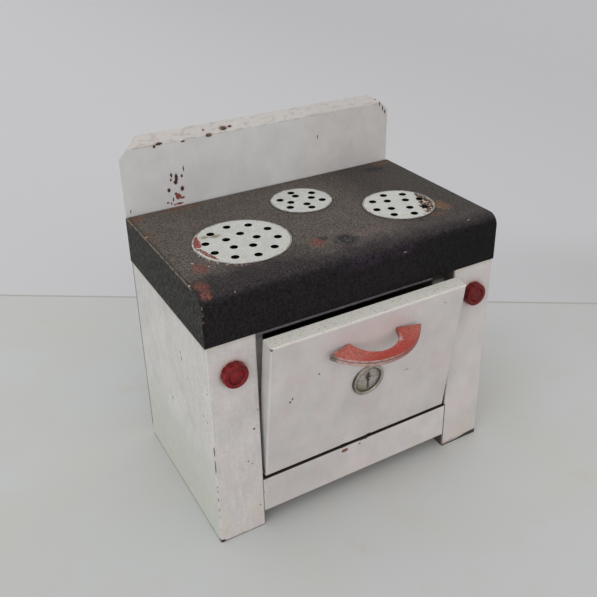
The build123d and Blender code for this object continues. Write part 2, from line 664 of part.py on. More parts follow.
def make_door():
    """The door pan with its holes for the hinge, the stops, the pull and the thermometer."""
    door = Pos(0, BODY_FRONT, DOOR_Z) * pan(DOOR_HALF, DOOR_HEIGHT, DOOR_DEPTH, DOOR_BEND)
    hinges = [(side * DOOR_HALF, HINGE_Y, HINGE_Z) for side in SIDES]
    stops = [(side * DOOR_HALF, *stop_place(0)) for side in SIDES]
    door = drilled(door, HINGE_PIN_R + FIT, RIGHT, hinges)
    door = drilled(door, STOP_STUD_R + FIT, RIGHT, stops)
    door = drilled(door, PULL_SCREW_R + FIT, BACKWARD, PULL_SCREWS)
    return drilled(door, CUP_R + FIT, BACKWARD, [(0, BODY_FRONT, GAUGE_Z)])


def make_pull():
    """The crescent pull: a plate square to the door, grooved round its edge, on two feet."""
    tips = [(side * PULL_TIP_X, PULL_TIP_OUT) for side in SIDES]
    heels = [(side * PULL_HEEL_X, PULL_HEEL_OUT) for side in SIDES]
    outline = Line(tips[0], heels[0]) + ThreePointArc(heels[0], (0, PULL_HOLLOW), heels[1])
    outline += Line(heels[1], tips[1])
    outline += ThreePointArc(tips[1], (0, PULL_REACH), tips[0])
    crescent = make_face(outline)
    plate = extrude(crescent, amount=PULL_THICK / 2, both=True)
    for end in (-1, 0):
        plate = fillet(plate.faces().sort_by(Axis.Z)[end].edges(), PULL_EDGE)
    rim = crescent - offset(crescent, -PULL_GROOVE, kind=Kind.INTERSECTION)
    plate -= Pos(0, 0, PULL_GROOVE_UP) * extrude(rim, amount=PULL_GROOVE_WIDTH / 2, both=True)
    foot = put(disc(PULL_FOOT_R, PULL_TIP_OUT), (PULL_FOOT_X, 0, 0), BACKWARD)
    pull = (plate + [foot, mirrored(foot)]).mirror(Plane.XZ)
    bore = disc(PULL_SCREW_R + FIT, PULL_SCREW_BITE)
    return Pos(0, BODY_FRONT, PULL_Z) * pull - [put(bore, place, FORWARD) for place in PULL_SCREWS]


def make_bezel():
    """The thermometer's bezel, along +Z from the door's face; it holds the dial and the cup's rim."""
    seat = CUP_SHEET + DIAL_SHEET
    profile = make_face(
        Polyline(
            (BEZEL_R, 0),
            (BEZEL_R, BEZEL_HEIGHT),
            (BEZEL_R - BEZEL_EDGE - BEZEL_LAND, BEZEL_HEIGHT),
            (BEZEL_OPEN_R, seat + BEZEL_EDGE),
            (BEZEL_OPEN_R, seat),
            (RIM_R, seat),
            (RIM_R, 0),
            close=True,
        )
    )
    outer = profile.vertices().group_by(Axis.X)[-1].sort_by(Axis.Y)[-1]
    return revolve(Plane.XZ * fillet(outer, BEZEL_EDGE), Axis.Z)


def make_pointer():
    """The flat arrow with its hub, along +Z, its arrow up the Y axis."""
    neck = POINTER_TIP - POINTER_HEAD_LENGTH
    stem = POINTER_STEM / 2
    points = [(POINTER_HEAD_WIDTH / 2, neck), (stem, neck), (stem, -POINTER_TAIL)]
    other = [(-x, y) for x, y in reversed(points)]
    outline = make_face(Polyline((0, POINTER_TIP), *points, *other, close=True))
    arrow = extrude(outline, amount=POINTER_SHEET)
    return arrow + disc(POINTER_HUB_R, POINTER_HUB) - disc(STAFF_R, POINTER_HUB)


def make_bimetal():
    """The spiral strip round the staff, its outer end run straight to the cup's wall."""
    turns = [(BIMETAL_START_R + i * BIMETAL_PITCH / 2, 180) for i in range(BIMETAL_HALF_TURNS)]
    spiral = arcs((BIMETAL_START_R, 0), (0, 1), turns)
    end, direction = spiral[-1] @ 1, spiral[-1] % 1
    reach = sqrt((CUP_R - CUP_SHEET) ** 2 - (abs(end.X) + BIMETAL_SHEET / 2) ** 2)
    path = Wire([*spiral, Line(end, end + direction * reach)])
    return swept(path, Rectangle(BIMETAL_WIDTH, BIMETAL_SHEET))


def gauge_nodes():
    """The thermometer's pieces along +Z from the door's face, by node name."""
    cup = Pos(0, 0, -CUP_DEPTH) * disc(CUP_R, CUP_DEPTH + CUP_SHEET)
    cup += disc(RIM_R, CUP_SHEET)
    cup -= Pos(0, 0, CUP_SHEET - CUP_DEPTH) * disc(CUP_R - CUP_SHEET, CUP_DEPTH)
    bearing = Cylinder(STAFF_R + FIT, 4 * CUP_DEPTH)
    dial = Pos(0, 0, CUP_SHEET) * disc(RIM_R, DIAL_SHEET)
    pointer_z = CUP_SHEET + DIAL_SHEET + POINTER_LIFT
    staff_length = STAFF_END + CUP_DEPTH + pointer_z + POINTER_HUB
    staff = Pos(0, 0, -CUP_DEPTH - STAFF_END) * disc(STAFF_R, staff_length)
    strip_z = (CUP_SHEET - CUP_DEPTH) / 2
    staff += Pos(0, 0, strip_z) * Cylinder(STAFF_COLLAR_R, BIMETAL_WIDTH)
    return {
        "gauge_bezel": make_bezel(),
        "gauge_cup": cup - bearing,
        "gauge_dial": dial - bearing,
        "bimetal_coil": Pos(0, 0, strip_z) * make_bimetal(),
        "gauge_pointer": Pos(0, 0, pointer_z) * Rot(0, 0, POINTER_LEAN) * make_pointer(),
        "gauge_staff": staff,
    }


def make_knob():
    """A fluted knob along +Z, its crowned face ringed, with a round spigot through the sheet."""
    face = KNOB_HEIGHT - KNOB_RING_DEPTH
    ring = face - KNOB_RING_DEPTH
    outline = Polyline((0, 0), (KNOB_R, 0), (KNOB_R, KNOB_RIM))
    outline += TangentArc((KNOB_R, KNOB_RIM), (KNOB_FACE_R, face), tangent=(0, 1))
    groove = KNOB_RING_R + KNOB_RING_DEPTH
    outline += Polyline((KNOB_FACE_R, face), (groove, face), (KNOB_RING_R, ring))
    outline += TangentArc((0, KNOB_HEIGHT), (KNOB_RING_R, ring), tangent=(1, 0))
    outline += Line((0, KNOB_HEIGHT), (0, 0))
    knob = revolve(Plane.XZ * make_face(outline), Axis.Z)
    flute = Pos(KNOB_R + KNOB_FLUTE_R - KNOB_FLUTE_DEPTH, 0, 0) * disc(KNOB_FLUTE_R, KNOB_HEIGHT)
    knob -= [Rot(0, 0, 360 * i / KNOB_FLUTES) * flute for i in range(KNOB_FLUTES)]
    length = KNOB_PLAY + SHEET + KNOB_PLAY + KNOB_CLIP + KNOB_STUB
    return knob + Pos(0, 0, -length) * disc(KNOB_SPIGOT_R, length)


def make_knob_clip():
    """The push-on clip that holds the spigot behind the sheet, drawn with the knob."""
    behind = KNOB_PLAY + SHEET + KNOB_PLAY + KNOB_CLIP
    return Pos(0, 0, -behind) * (disc(KNOB_CLIP_R, KNOB_CLIP) - disc(KNOB_SPIGOT_R, KNOB_CLIP))


def knob_nodes():
    """Both knobs and their clips, by node name."""
    made = {}
    for name, side in zip(("left", "right"), SIDES):
        place = (side * KNOB_X, BODY_FRONT - KNOB_PLAY, KNOB_UP)
        made[f"{name}_knob"] = put(make_knob(), place, FORWARD)
        made[f"{name}_knob_clip"] = put(make_knob_clip(), place, FORWARD)
    return made


def hinge_pin():
    """A hinge pin along +Z, from its head behind the return to its clinched end inside the door."""
    length = SHEET + DOOR_SIDE_GAP + SHEET + HINGE_PLAY
    pin = Pos(0, 0, -HINGE_HEAD) * disc(HINGE_HEAD_R, HINGE_HEAD) + disc(HINGE_PIN_R, length)
    return pin + Pos(0, 0, length) * disc(CLINCH_R, CLINCH)


def hinge_spacer():
    """The washer between the return and the door, along +Z from the return."""
    thick = DOOR_SIDE_GAP - HINGE_PLAY
    return disc(SPACER_R, thick) - disc(HINGE_PIN_R + FIT, thick)


def stop_stud():
    """A stop stud along +Z, from its head inside the door out through the slot in the return."""
    stud = Pos(0, 0, -HINGE_HEAD) * disc(STOP_HEAD_R, HINGE_HEAD)
    return stud + disc(STOP_STUD_R, SHEET + DOOR_SIDE_GAP + SHEET + STOP_REACH)


def heater_nodes():
    """The element on its shelf and its wiring to the inlet, by node name."""
    coil, plate = make_element()
    bolt_length = ELEMENT_THICK + SHEET + NUT_THICK + BOLT_END
    bolt = screw(BOLT_R, bolt_length, BOLT_HEAD_R, BOLT_HEAD)
    wires = [ELEMENT_X + side * LEAD_X for side in SIDES]
    terminal_y = ELEMENT_Y + COIL_END + TERMINAL / 2
    terminals = [Pos(x, terminal_y, ELEMENT_TOP) * make_terminal() for x in wires]
    return {
        "heater_shelf": make_shelf(),
        "element_plate": plate,
        "heating_coil": coil,
        "element_bolt": put(bolt, (ELEMENT_X, ELEMENT_Y, ELEMENT_TOP), DOWN),
        "element_nut": Pos(ELEMENT_X, ELEMENT_Y, SHELF_TOP - SHEET - NUT_THICK) * make_nut(),
        "element_terminals": Compound(terminals),
        "element_leads": Compound([Pos(x, 0, 0) * make_lead() for x in wires]),
        "inlet_insulator": make_insulator(),
        "inlet_pins": Compound([Pos(x, 0, 0) * make_pin() for x in wires]),
        "inlet_guard": make_guard(),
        "inlet_screws": body_screws(INLET_SCREWS, SHEET),
    }


def cabinet_nodes():
    """The pieces of the body, by node name."""
    side_panel = make_side_panel()
    pin = put(hinge_pin(), (OPENING_HALF + SHEET, HINGE_Y, HINGE_Z), LEFT)
    spacer = put(hinge_spacer(), (OPENING_HALF, HINGE_Y, HINGE_Z), LEFT)
    right_places = [place for place in KICK_RIVETS if place[0] > 0]
    kick_rivets = fastened(rivet(2 * SHEET), right_places, RIGHT, SHEET).solids()
    return {
        "right_side_panel": side_panel,
        "left_side_panel": mirrored(side_panel),
        "kick_panel": make_kick_panel(),
        "rear_panel": make_rear_panel(),
        "cooktop": make_cooktop(),
        "backsplash": make_backsplash(),
        "oven_liner": make_liner(),
        "hinge_pins": on_both_sides(pin),
        "hinge_spacers": on_both_sides(spacer),
        "kick_rivets": Compound(kick_rivets + [mirrored(one) for one in kick_rivets]),
        "liner_rivets": fastened(rivet(SHEET + LINER_SHEET), FRAME_RIVETS, BACKWARD, SHEET),
        "rear_screws": body_screws(REAR_SCREWS, 0),
        "backsplash_screws": body_screws(SPLASH_SCREWS, SHEET),
    }


def door_nodes():
    """The door and what it carries, shut, by node name."""
    stud = put(stop_stud(), (DOOR_HALF - SHEET, *stop_place(0)), RIGHT)
    pull_screw = screw(PULL_SCREW_R, PULL_SCREW_BITE, PULL_SCREW_HEAD_R, PULL_SCREW_HEAD)
    made = {
        "door_panel": make_door(),
        "door_handle": make_pull(),
        "handle_screws": fastened(pull_screw, PULL_SCREWS, FORWARD, SHEET),
        "stop_studs": on_both_sides(stud),
    }
    for name, piece in gauge_nodes().items():
        made[name] = Pos(0, BODY_FRONT, GAUGE_Z) * (Plane.XZ * piece)
    return made


hinge = Axis((0, HINGE_Y, HINGE_Z), (1, 0, 0))
swung = {name: piece.rotate(hinge, DOOR_AJAR) for name, piece in door_nodes().items()}
nodes = {**cabinet_nodes(), **heater_nodes(), "oven_rack": make_rack(), **knob_nodes(), **swung}
box = Compound(list(nodes.values())).bounding_box()
ORIGIN = Vector(box.center().X, box.center().Y, box.min.Z)
for name, piece in nodes.items():
    export_step(piece.moved(Location(-ORIGIN)), f"parts/{name}.step")
print("origin", ORIGIN, "size", box.size, "nodes", len(nodes))
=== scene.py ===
import json
import math

import bmesh
import bpy
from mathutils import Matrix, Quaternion, Vector


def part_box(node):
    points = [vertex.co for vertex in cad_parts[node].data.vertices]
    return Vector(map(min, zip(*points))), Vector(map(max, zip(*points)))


# The looks of a worn child's electric range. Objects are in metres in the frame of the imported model.
# Materials work in millimetres of that frame, at rest, and their colours are written as sRGB 0-255.
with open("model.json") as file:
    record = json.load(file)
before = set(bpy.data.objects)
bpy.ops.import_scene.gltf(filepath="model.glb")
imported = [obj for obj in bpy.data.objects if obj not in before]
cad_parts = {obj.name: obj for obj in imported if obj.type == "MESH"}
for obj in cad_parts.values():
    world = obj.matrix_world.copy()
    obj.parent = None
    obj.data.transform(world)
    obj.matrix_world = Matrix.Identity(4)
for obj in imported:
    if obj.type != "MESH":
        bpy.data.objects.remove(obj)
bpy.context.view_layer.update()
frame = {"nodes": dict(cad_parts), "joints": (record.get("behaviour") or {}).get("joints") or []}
nodes = frame["nodes"]
joints = {joint["name"]: joint for joint in frame["joints"]}
MM = 0.001


def box_mm(name):
    """The lowest and the highest corner of a CAD node, in millimetres."""
    low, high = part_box(name)
    return low / MM, high / MM


def middle_mm(name):
    """The middle of a CAD node's box, in millimetres."""
    low, high = box_mm(name)
    return (low + high) / 2


# Faces and edges of the model that the paint and its wear go by, in millimetres
SIDE_X = box_mm("left_side_panel")[0].x  # the left panel's outer face
FACE_Y = box_mm("left_side_panel")[0].y  # the pilasters' and the kick panel's face
OPENING_HALF = -box_mm("left_side_panel")[1].x  # half the width between the pilasters
COOKTOP_LEFT, COOKTOP_FRONT, SKIRT_BOTTOM = box_mm("cooktop")[0]
BURNER_TOP = box_mm("cooktop")[1].z
BURNER_RISE = 1.0
COOKTOP_TOP = BURNER_TOP - BURNER_RISE
SPLASH_Y = box_mm("backsplash")[0].y
SPLASH_FOLD_Z = 353.2
LINER_FRONT = box_mm("oven_liner")[0].y
KICK_BOTTOM = box_mm("kick_panel")[0].z
STAFF = joints["gauge_staff_turn"]
STAFF_AT = tuple(part / MM for part in STAFF["pos_m"])
DOOR_UP = (0.0, abs(STAFF["axis"][2]), abs(STAFF["axis"][1]))  # along the door's face at rest

# Camera: where it stands, where it looks and what part of its field the picture takes
PICTURE = 597  # pixels, square
FOCAL = 774.7  # pixels
AXIS_PIXEL = (303.4, 241.5)  # where the line of sight meets the picture
CAMERA_AT = (-0.3647, -0.6117, 0.6100)
AZIMUTH, ELEVATION, ROLL = -29.41, 26.13, -1.03  # degrees
SENSOR = 36.0


def add_camera():
    """The camera at the viewing angle, with the small shift that the picture's crop needs."""
    data = bpy.data.cameras.new("camera")
    data.sensor_width = SENSOR
    data.lens = FOCAL * SENSOR / PICTURE
    data.shift_x = (PICTURE / 2 - AXIS_PIXEL[0]) / PICTURE
    data.shift_y = (AXIS_PIXEL[1] - PICTURE / 2) / PICTURE
    camera = bpy.data.objects.new("camera", data)
    azimuth, elevation = math.radians(AZIMUTH), math.radians(ELEVATION)
    level = Vector((-math.sin(azimuth), math.cos(azimuth), 0))
    ahead = level * math.cos(elevation) - Vector((0, 0, math.sin(elevation)))
    turn = ahead.to_track_quat("-Z", "Y") @ Quaternion((0, 0, 1), math.radians(ROLL))
    camera.location = CAMERA_AT
    camera.rotation_mode = "QUATERNION"
    camera.rotation_quaternion = turn
    bpy.context.scene.collection.objects.link(camera)
    bpy.context.scene.camera = camera


def linear(colour):
    """A colour written as sRGB 0-255, as Blender's linear RGBA."""
    parts = [c / 255 for c in colour]
    return [c / 12.92 if c <= 0.04045 else ((c + 0.055) / 1.055) ** 2.4 for c in parts] + [1.0]


class NodeTree:
    """A shader's tree of nodes, with short names for sums on numbers and masks."""

    def __init__(self, tree):
        self.tree = tree

    def node(self, kind, **settings):
        """A node with its inputs linked or set, and its other properties set."""
        made = self.tree.nodes.new("ShaderNode" + kind)
        for key, value in settings.items():
            if key in made.inputs:
                self.feed(made.inputs[key], value)
            else:
                setattr(made, key, value)
        return made

    def feed(self, socket, value):
        """Links an output to the socket, or sets the socket's own value."""
        if isinstance(value, bpy.types.NodeSocket):
            self.tree.links.new(value, socket)
        else:
            socket.default_value = value

    def math(self, operation, *values):
        """A sum on numbers and outputs."""
        made = self.node("Math", operation=operation)
        for socket, value in zip(made.inputs, values):
            self.feed(socket, value)
        return made.outputs[0]

    def fold(self, operation, values):
        """The values put together, one after the other, by one operation."""
        result = values[0]
        for value in values[1:]:
            result = self.math(operation, result, value)
        return result

    def add(self, *values):
        return self.fold("ADD", values)

    def less(self, value, other):
        return self.math("SUBTRACT", value, other)

    def times(self, *values):
        return self.fold("MULTIPLY", values)

    def every(self, *masks):
        """Where all the masks are."""
        return self.fold("MULTIPLY", masks)

    def either(self, *masks):
        """Where any of the masks is."""
        return self.fold("MAXIMUM", masks)


EVEN = (1, 1, 1)  # noise that isn't stretched
NOISE_ROUGHNESS = 0.55
MIX_SOCKETS = (0, 6, 7)  # a Mix node's factor and its two colours
MIX_RESULT = 2
DARKEST = 0.2  # how far down shading may take a colour


class Finish(NodeTree):
    """A procedural material. Its masks run from 0 to 1, and its sizes are in millimetres."""

    def __init__(self, name, roughness=0.5, metallic=0.0, specular=0.5):
        self.material = bpy.data.materials.new(name)
        self.material.use_nodes = True
        super().__init__(self.material.node_tree)
        self.shader = self.tree.nodes["Principled BSDF"]
        self.shader.inputs["Roughness"].default_value = roughness
        self.shader.inputs["Metallic"].default_value = metallic
        self.shader.inputs["Specular IOR Level"].default_value = specular
        texture = self.node("TexCoord")
        scaled = self.node("VectorMath", operation="SCALE", Vector=texture.outputs["Object"])
        scaled.inputs["Scale"].default_value = 1 / MM
        self.place = scaled.outputs[0]
        self.x, self.y, self.z = self.parts(self.place)
        self.facing = self.parts(texture.outputs["Normal"])
        self.heights = None

    def parts(self, vector):
        """The x, y and z of a vector."""
        return self.node("SeparateXYZ", Vector=vector).outputs

    def joined(self, three):
        """A vector from three outputs or numbers."""
        return self.node("CombineXYZ", X=three[0], Y=three[1], Z=three[2]).outputs[0]

    def vector(self, operation, *values):
        """A sum on vectors; DOT_PRODUCT and LENGTH give a number."""
        made = self.node("VectorMath", operation=operation)
        for socket, value in zip(made.inputs, values):
            self.feed(socket, value)
        number = operation in ("DOT_PRODUCT", "LENGTH")
        return made.outputs["Value" if number else "Vector"]

    def ramp(self, value, low, high):
        """0 at low, 1 at high and smooth between; low may be the larger."""
        made = self.node("MapRange", interpolation_type="SMOOTHSTEP", Value=value)
        if low < high:
            limits = (low, high, 0.0, 1.0)
        else:
            limits = (high, low, 1.0, 0.0)
        for name, limit in zip(("From Min", "From Max", "To Min", "To Max"), limits):
            made.inputs[name].default_value = limit
        return made.outputs[0]

    def within(self, value, low, high, soft):
        """Where the value lies between two limits, with soft ends."""
        return self.every(self.ramp(value, low - soft, low), self.ramp(value, high + soft, high))

    def off(self, value, middle):
        """How far the value is from a middle one."""
        return self.math("ABSOLUTE", self.less(value, middle))

    def stretched(self, size, stretch, shift):
        """The place counted in cells of this size, longer along a stretched axis, and shifted."""
        where = self.vector("MULTIPLY", self.place, [1 / (size * share) for share in stretch])
        return self.vector("ADD", where, (shift, shift, shift))

    def noise(self, size, detail, stretch=EVEN, shift=0.0):
        """Noise from 0 to 1 with features of this size; another shift gives another pattern."""
        where = self.stretched(size, stretch, shift)
        made = self.node("TexNoise", Vector=where, Scale=1.0, Detail=detail, Roughness=NOISE_ROUGHNESS)
        return made.outputs[0]

    def patches(self, size, detail, low, high, stretch=EVEN, shift=0.0):
        """Patches of this size: where the noise passes from the low value to the high one."""
        return self.ramp(self.noise(size, detail, stretch, shift), low, high)

    def wobble(self, amount, size, detail, shift=0.0):
        """Noise of this size that swings by half the amount either way."""
        return self.times(self.less(self.noise(size, detail, shift=shift), 0.5), amount)

    def specks(self, pitch, radius, share, shift=0.0, stretch=EVEN):
        """Separate specks: one to a cell of this pitch, in this share of the cells."""
        cells = self.node("TexVoronoi", Vector=self.stretched(pitch, stretch, shift), Scale=1.0)
        chosen = self.ramp(self.parts(cells.outputs["Color"])[0], 1 - share, 1 - share * 0.8)
        return self.every(chosen, self.ramp(cells.outputs["Distance"], radius / pitch, radius / pitch * 0.6))

    def spots(self, places, ragged, size):
        """How near the nearest of some spots is: 1 on its edge, 0 in its middle.
        A spot is x, y, z and its reach along x, y and z. Its edge is ragged by noise of this size."""
        wander = self.node("TexNoise", Vector=self.place, Scale=1 / size, Detail=3.0)
        wander = self.vector("SUBTRACT", wander.outputs["Color"], (0.5, 0.5, 0.5))
        where = self.vector("ADD", self.place, self.vector("MULTIPLY", wander, (ragged * 2,) * 3))
        nearest = None
        for spot in places:
            offset = self.vector("SUBTRACT", where, spot[:3])
            distance = self.vector("LENGTH", self.vector("DIVIDE", offset, spot[3:]))
            nearest = distance if nearest is None else self.math("MINIMUM", nearest, distance)
        return nearest

    def polar(self, x, y, zero):
        """On the level: the distance from a centre, and the bearing in degrees from a zero bearing."""
        offset = self.vector("SUBTRACT", self.place, (x, y, 0))
        zero = math.radians(zero)
        ahead = self.vector("DOT_PRODUCT", offset, (math.cos(zero), math.sin(zero), 0))
        aside = self.vector("DOT_PRODUCT", offset, (-math.sin(zero), math.cos(zero), 0))
        reach = self.vector("LENGTH", self.vector("MULTIPLY", offset, (1, 1, 0)))
        return reach, self.times(self.math("ARCTAN2", aside, ahead), math.degrees(1))

    def worn_edge(self, reach, low=0.02, high=0.2):
        """Near a convex or concave edge of the piece, within this reach."""
        bevel = self.node("Bevel", samples=4, Radius=reach * MM)
        normal = self.node("NewGeometry").outputs["Normal"]
        flat = self.vector("DOT_PRODUCT", bevel.outputs[0], normal)
        return self.ramp(self.less(1.0, flat), low, high)

    def feed_colour(self, socket, colour):
        """Feeds a socket with an output, or with a colour written as sRGB."""
        self.feed(socket, linear(colour) if isinstance(colour, tuple) else colour)

    def lay(self, under, over, *masks):
        """The colour over laid on the colour under, where all the masks are."""
        made = self.node("Mix", data_type="RGBA")
        for index, value in zip(MIX_SOCKETS, (self.every(*masks), under, over)):
            self.feed_colour(made.inputs[index], value)
        return made.outputs[MIX_RESULT]

    def shade(self, colour, field, amount):
        """The colour made lighter where the field is over a half and darker where it is under."""
        value = self.add(self.times(self.less(field, 0.5), amount), 1.0)
        made = self.node("HueSaturation", Value=self.math("MAXIMUM", value, DARKEST))
        self.feed_colour(made.inputs["Color"], colour)
        return made.outputs[0]

    def relief(self, height, depth):
        """Adds to the bump: the height runs from 0 to 1 over this depth."""
        scaled = self.times(height, depth)
        self.heights = scaled if self.heights is None else self.add(self.heights, scaled)

    def done(self, colour, roughness=None):
        """Links the colour, the roughness where it varies, and the bump, and returns the material."""
        self.feed(self.shader.inputs["Base Color"], colour)
        if roughness is not None:
            self.feed(self.shader.inputs["Roughness"], roughness)
        if self.heights is not None:
            bump = self.node("Bump", Height=self.heights, Distance=MM)
            self.feed(self.shader.inputs["Normal"], bump.outputs["Normal"])
        return self.material


# Marks are lists of spots: x, y, z and their reach along x, y and z
MARK_DEEP = 4  # the reach into an upright face
TOP_MARK_Z = 281
TOP_MARK_DEEP = 9


def on_front(marks, y=FACE_Y, deep=MARK_DEEP):
    """Spots on an upright face that looks forwards, given by x, z and their reach along both."""
    return [(x, y, z, wide, deep, high) for x, z, wide, high in marks]


def on_left(marks):
    """Spots on the left panel's outer face, given by y, z and their reach along both."""
    return [(SIDE_X, y, z, MARK_DEEP, wide, high) for y, z, wide, high in marks]


def on_top(marks, z=TOP_MARK_Z, deep=TOP_MARK_DEEP):
    """Spots on the cooktop, given by x, y and their reach along both."""
    return [(x, y, z, wide, far, deep) for x, y, wide, far in marks]


# White enamel, what is under it and what lies on it
ENAMEL = (186, 184, 182)
ENAMEL_DARK = (177, 174, 172)
ENAMEL_YELLOW = (184, 176, 154)
GRIME = (112, 104, 94)
BROWN_SPECK = (120, 96, 84)
WORN_EDGE = (128, 108, 94)
CHIP_RIM = (176, 140, 130)
BARE_DARK = (50, 40, 37)
PRIMER = (138, 72, 62)
RUST = (92, 52, 40)
FOOT_DIRT_AND_SHADOW = (78, 78, 68)
GAP_SHADE = (62, 56, 52)  # painted shade on what a gap shows and on faces that look down


def enamel(name, chips, primer, ground, extra):
    """White paint on sheet: mottled, streaked and yellowed, with specks, worn edges and chips.
    The ground changes the paint under the chips, and the extra goes over them."""
    coat = Finish(name, roughness=0.5, specular=0.35)
    colour = coat.lay(ENAMEL, ENAMEL_DARK, coat.patches(60, 4, 0.35, 0.7))
    colour = coat.shade(colour, coat.noise(16, 5, (1, 1, 1.6), 7), 0.25)
    colour = coat.shade(colour, coat.noise(3.5, 4, (1, 1, 2), 3), 0.1)
    colour = ground(coat, colour)
    yellowed = coat.every(coat.ramp(coat.z, 50, 4), coat.patches(18, 3, 0.4, 0.75, shift=5))
    colour = coat.lay(colour, ENAMEL_YELLOW, yellowed, 0.7)
    colour = coat.lay(colour, GRIME, coat.specks(13, 0.55, 0.22), 0.75)
    colour = coat.lay(colour, BROWN_SPECK, coat.specks(7, 0.5, 0.10, 4, (1, 1, 1.8)), 0.6)
    edge = coat.every(coat.worn_edge(1.0), coat.patches(4, 4, 0.5, 0.62, shift=11))
    colour = coat.lay(colour, WORN_EDGE, edge, 0.55)
    bare = edge
    outside = coat.ramp(coat.facing[1], 0.8, 0.6)  # chips go through the paint, not through the sheet
    if chips:
        near = coat.spots(chips, 1.0, 1.6)
        colour = coat.lay(colour, CHIP_RIM, coat.ramp(near, 1.9, 1.1), outside, 0.4)
        chipped = coat.every(coat.ramp(near, 1.08, 0.94), outside)
        colour = coat.lay(colour, BARE_DARK, chipped)
        bare = coat.either(bare, chipped)
    if primer:
        near = coat.spots(primer, 1.2, 1.6)
        flaked = coat.every(coat.ramp(near, 1.08, 0.92), outside)
        colour = coat.lay(colour, coat.lay(PRIMER, RUST, coat.patches(1.6, 3, 0.45, 0.55)), flaked)
        bare = coat.either(bare, flaked)
    colour = extra(coat, colour)
    # dirt and a painted contact shadow along the foot of the sheet
    foot = coat.add(coat.z, coat.times(coat.noise(5, 4, shift=13), 1.6))
    colour = coat.lay(colour, FOOT_DIRT_AND_SHADOW, coat.ramp(foot, 2.3, 1.7), 0.85)
    coat.relief(bare, -0.12)
    coat.relief(coat.noise(32, 2, shift=2), 1.1)
    coat.relief(coat.noise(1.3, 2), 0.02)
    return coat.done(colour, coat.ramp(coat.noise(20, 3), -0.4, 1.5))


FRONT_LIGHT_PINK = (200, 172, 177)


def front_light_tint(coat, colour):
    """Paint that faces forwards, tinted a little pink in patches: a painted tint of the light from the
    front.
    """
    pink = coat.every(coat.ramp(coat.facing[1], -0.6, -0.9), coat.patches(24, 4, 0.3, 0.7, shift=18))
    return coat.lay(colour, FRONT_LIGHT_PINK, pink, 0.2)


HALO = (176, 158, 146)
HALO_RED = (158, 116, 104)
HALO_REACH = (20, 12, 20)
HALO_RED_REACH = (16, 12, 16)


def knob_halo(coat, colour, knob):
    """The dirt and the red rub on the paint round a knob."""
    middle = tuple(middle_mm(knob))
    near = coat.ramp(coat.spots([middle + HALO_REACH], 3, 5), 1.0, 0.6)
    colour = coat.lay(colour, HALO, near, 0.6)
    tight = coat.ramp(coat.spots([middle + HALO_RED_REACH], 1.5, 3), 1.0, 0.8)
    return coat.lay(colour, HALO_RED, tight, 0.65)


# Side panels: under the cooktop's skirt, and at the fold into the door's opening
UNDER_SKIRT = (168, 156, 134)
CREASE = (74, 62, 54)
CREASE_TOP = 62
FOLD_REACH = 1.2


def side_paint(coat, colour):
    """A side panel: yellowed under the cooktop's skirt, with painted shade in the crease beside the kick
    panel and on its fold by the door behind the face.
    """
    ragged = coat.add(coat.z, coat.times(coat.noise(5, 4, (1, 1, 2), 9), 14))
    head = coat.ramp(ragged, SKIRT_BOTTOM, SKIRT_BOTTOM + 5)
    head = coat.every(head, coat.ramp(coat.z, SKIRT_BOTTOM + 2, SKIRT_BOTTOM))
    colour = coat.lay(colour, UNDER_SKIRT, head, 0.3)
    across = coat.math("ABSOLUTE", coat.x)
    # painted shade: the fold darkened beside the kick panel, where the gap lies
    crease = coat.within(across, OPENING_HALF - FOLD_REACH, OPENING_HALF + FOLD_REACH / 2, 0.3)
    colour = coat.lay(colour, CREASE, crease, coat.ramp(coat.z, CREASE_TOP, CREASE_TOP - 4), 0.75)
    # painted shade on the fold behind the face, where the door's gap shows it
    fold = coat.within(across, OPENING_HALF - FOLD_REACH, OPENING_HALF + FOLD_REACH, 0.1)
    return coat.lay(colour, GAP_SHADE, fold, coat.ramp(coat.y, FACE_Y + 1.8, FACE_Y + 3.2), 0.9)


# Left side panel. A dash is worn off its front fold from one height down to another
EDGE_DASHES = ((123, 110), (106, 89), (74, 71), (69, 65), (58.6, 54), (46, 41), (36, 33), (19, 16))
DASH_INSET = 0.2
DASH_REACH = 0.75
FRONT_MARKS = [
    (-121.6, 126.1, 1.0, 1.0),
    (-116.9, 146.9, 0.6, 0.9),
    (-129.6, 89.8, 0.7, 0.6),
    (-125.6, 85.0, 0.8, 0.5),
    (-119.6, 28.8, 0.8, 0.6),
]
LEFT_MARKS = [
    (104.0, 77.3, 0.9, 0.9),
    (-11.6, 188.9, 0.7, 2.4),
    (-13.4, 183.0, 0.8, 2.6),
    (27.4, 110.2, 0.9, 1.4),
    (-24.2, 166.8, 0.7, 0.9),
    (-61.0, 146.0, 0.9, 0.7),
    (-68.0, 144.0, 0.8, 1.0),
    (-74.0, 180.1, 0.9, 1.0),
]
SIDE_PALE = (192, 193, 190)
SIDE_LOW = (174, 177, 168)
PALE_SPECK = (208, 208, 206)
GREY_SPECK = (150, 147, 142)
DULL_SPECK = (150, 144, 136)
CORNER_BLACK = (34, 31, 29)


def left_chips():
    """The chips of the left panel, with the dashes along its front fold."""
    dashes = []
    for top, bottom in EDGE_DASHES:
        middle = (SIDE_X + DASH_INSET, FACE_Y + DASH_INSET, (top + bottom) / 2)
        dashes.append(middle + (DASH_REACH, DASH_REACH, (top - bottom) / 2))
    return on_front(FRONT_MARKS) + on_left(LEFT_MARKS) + dashes


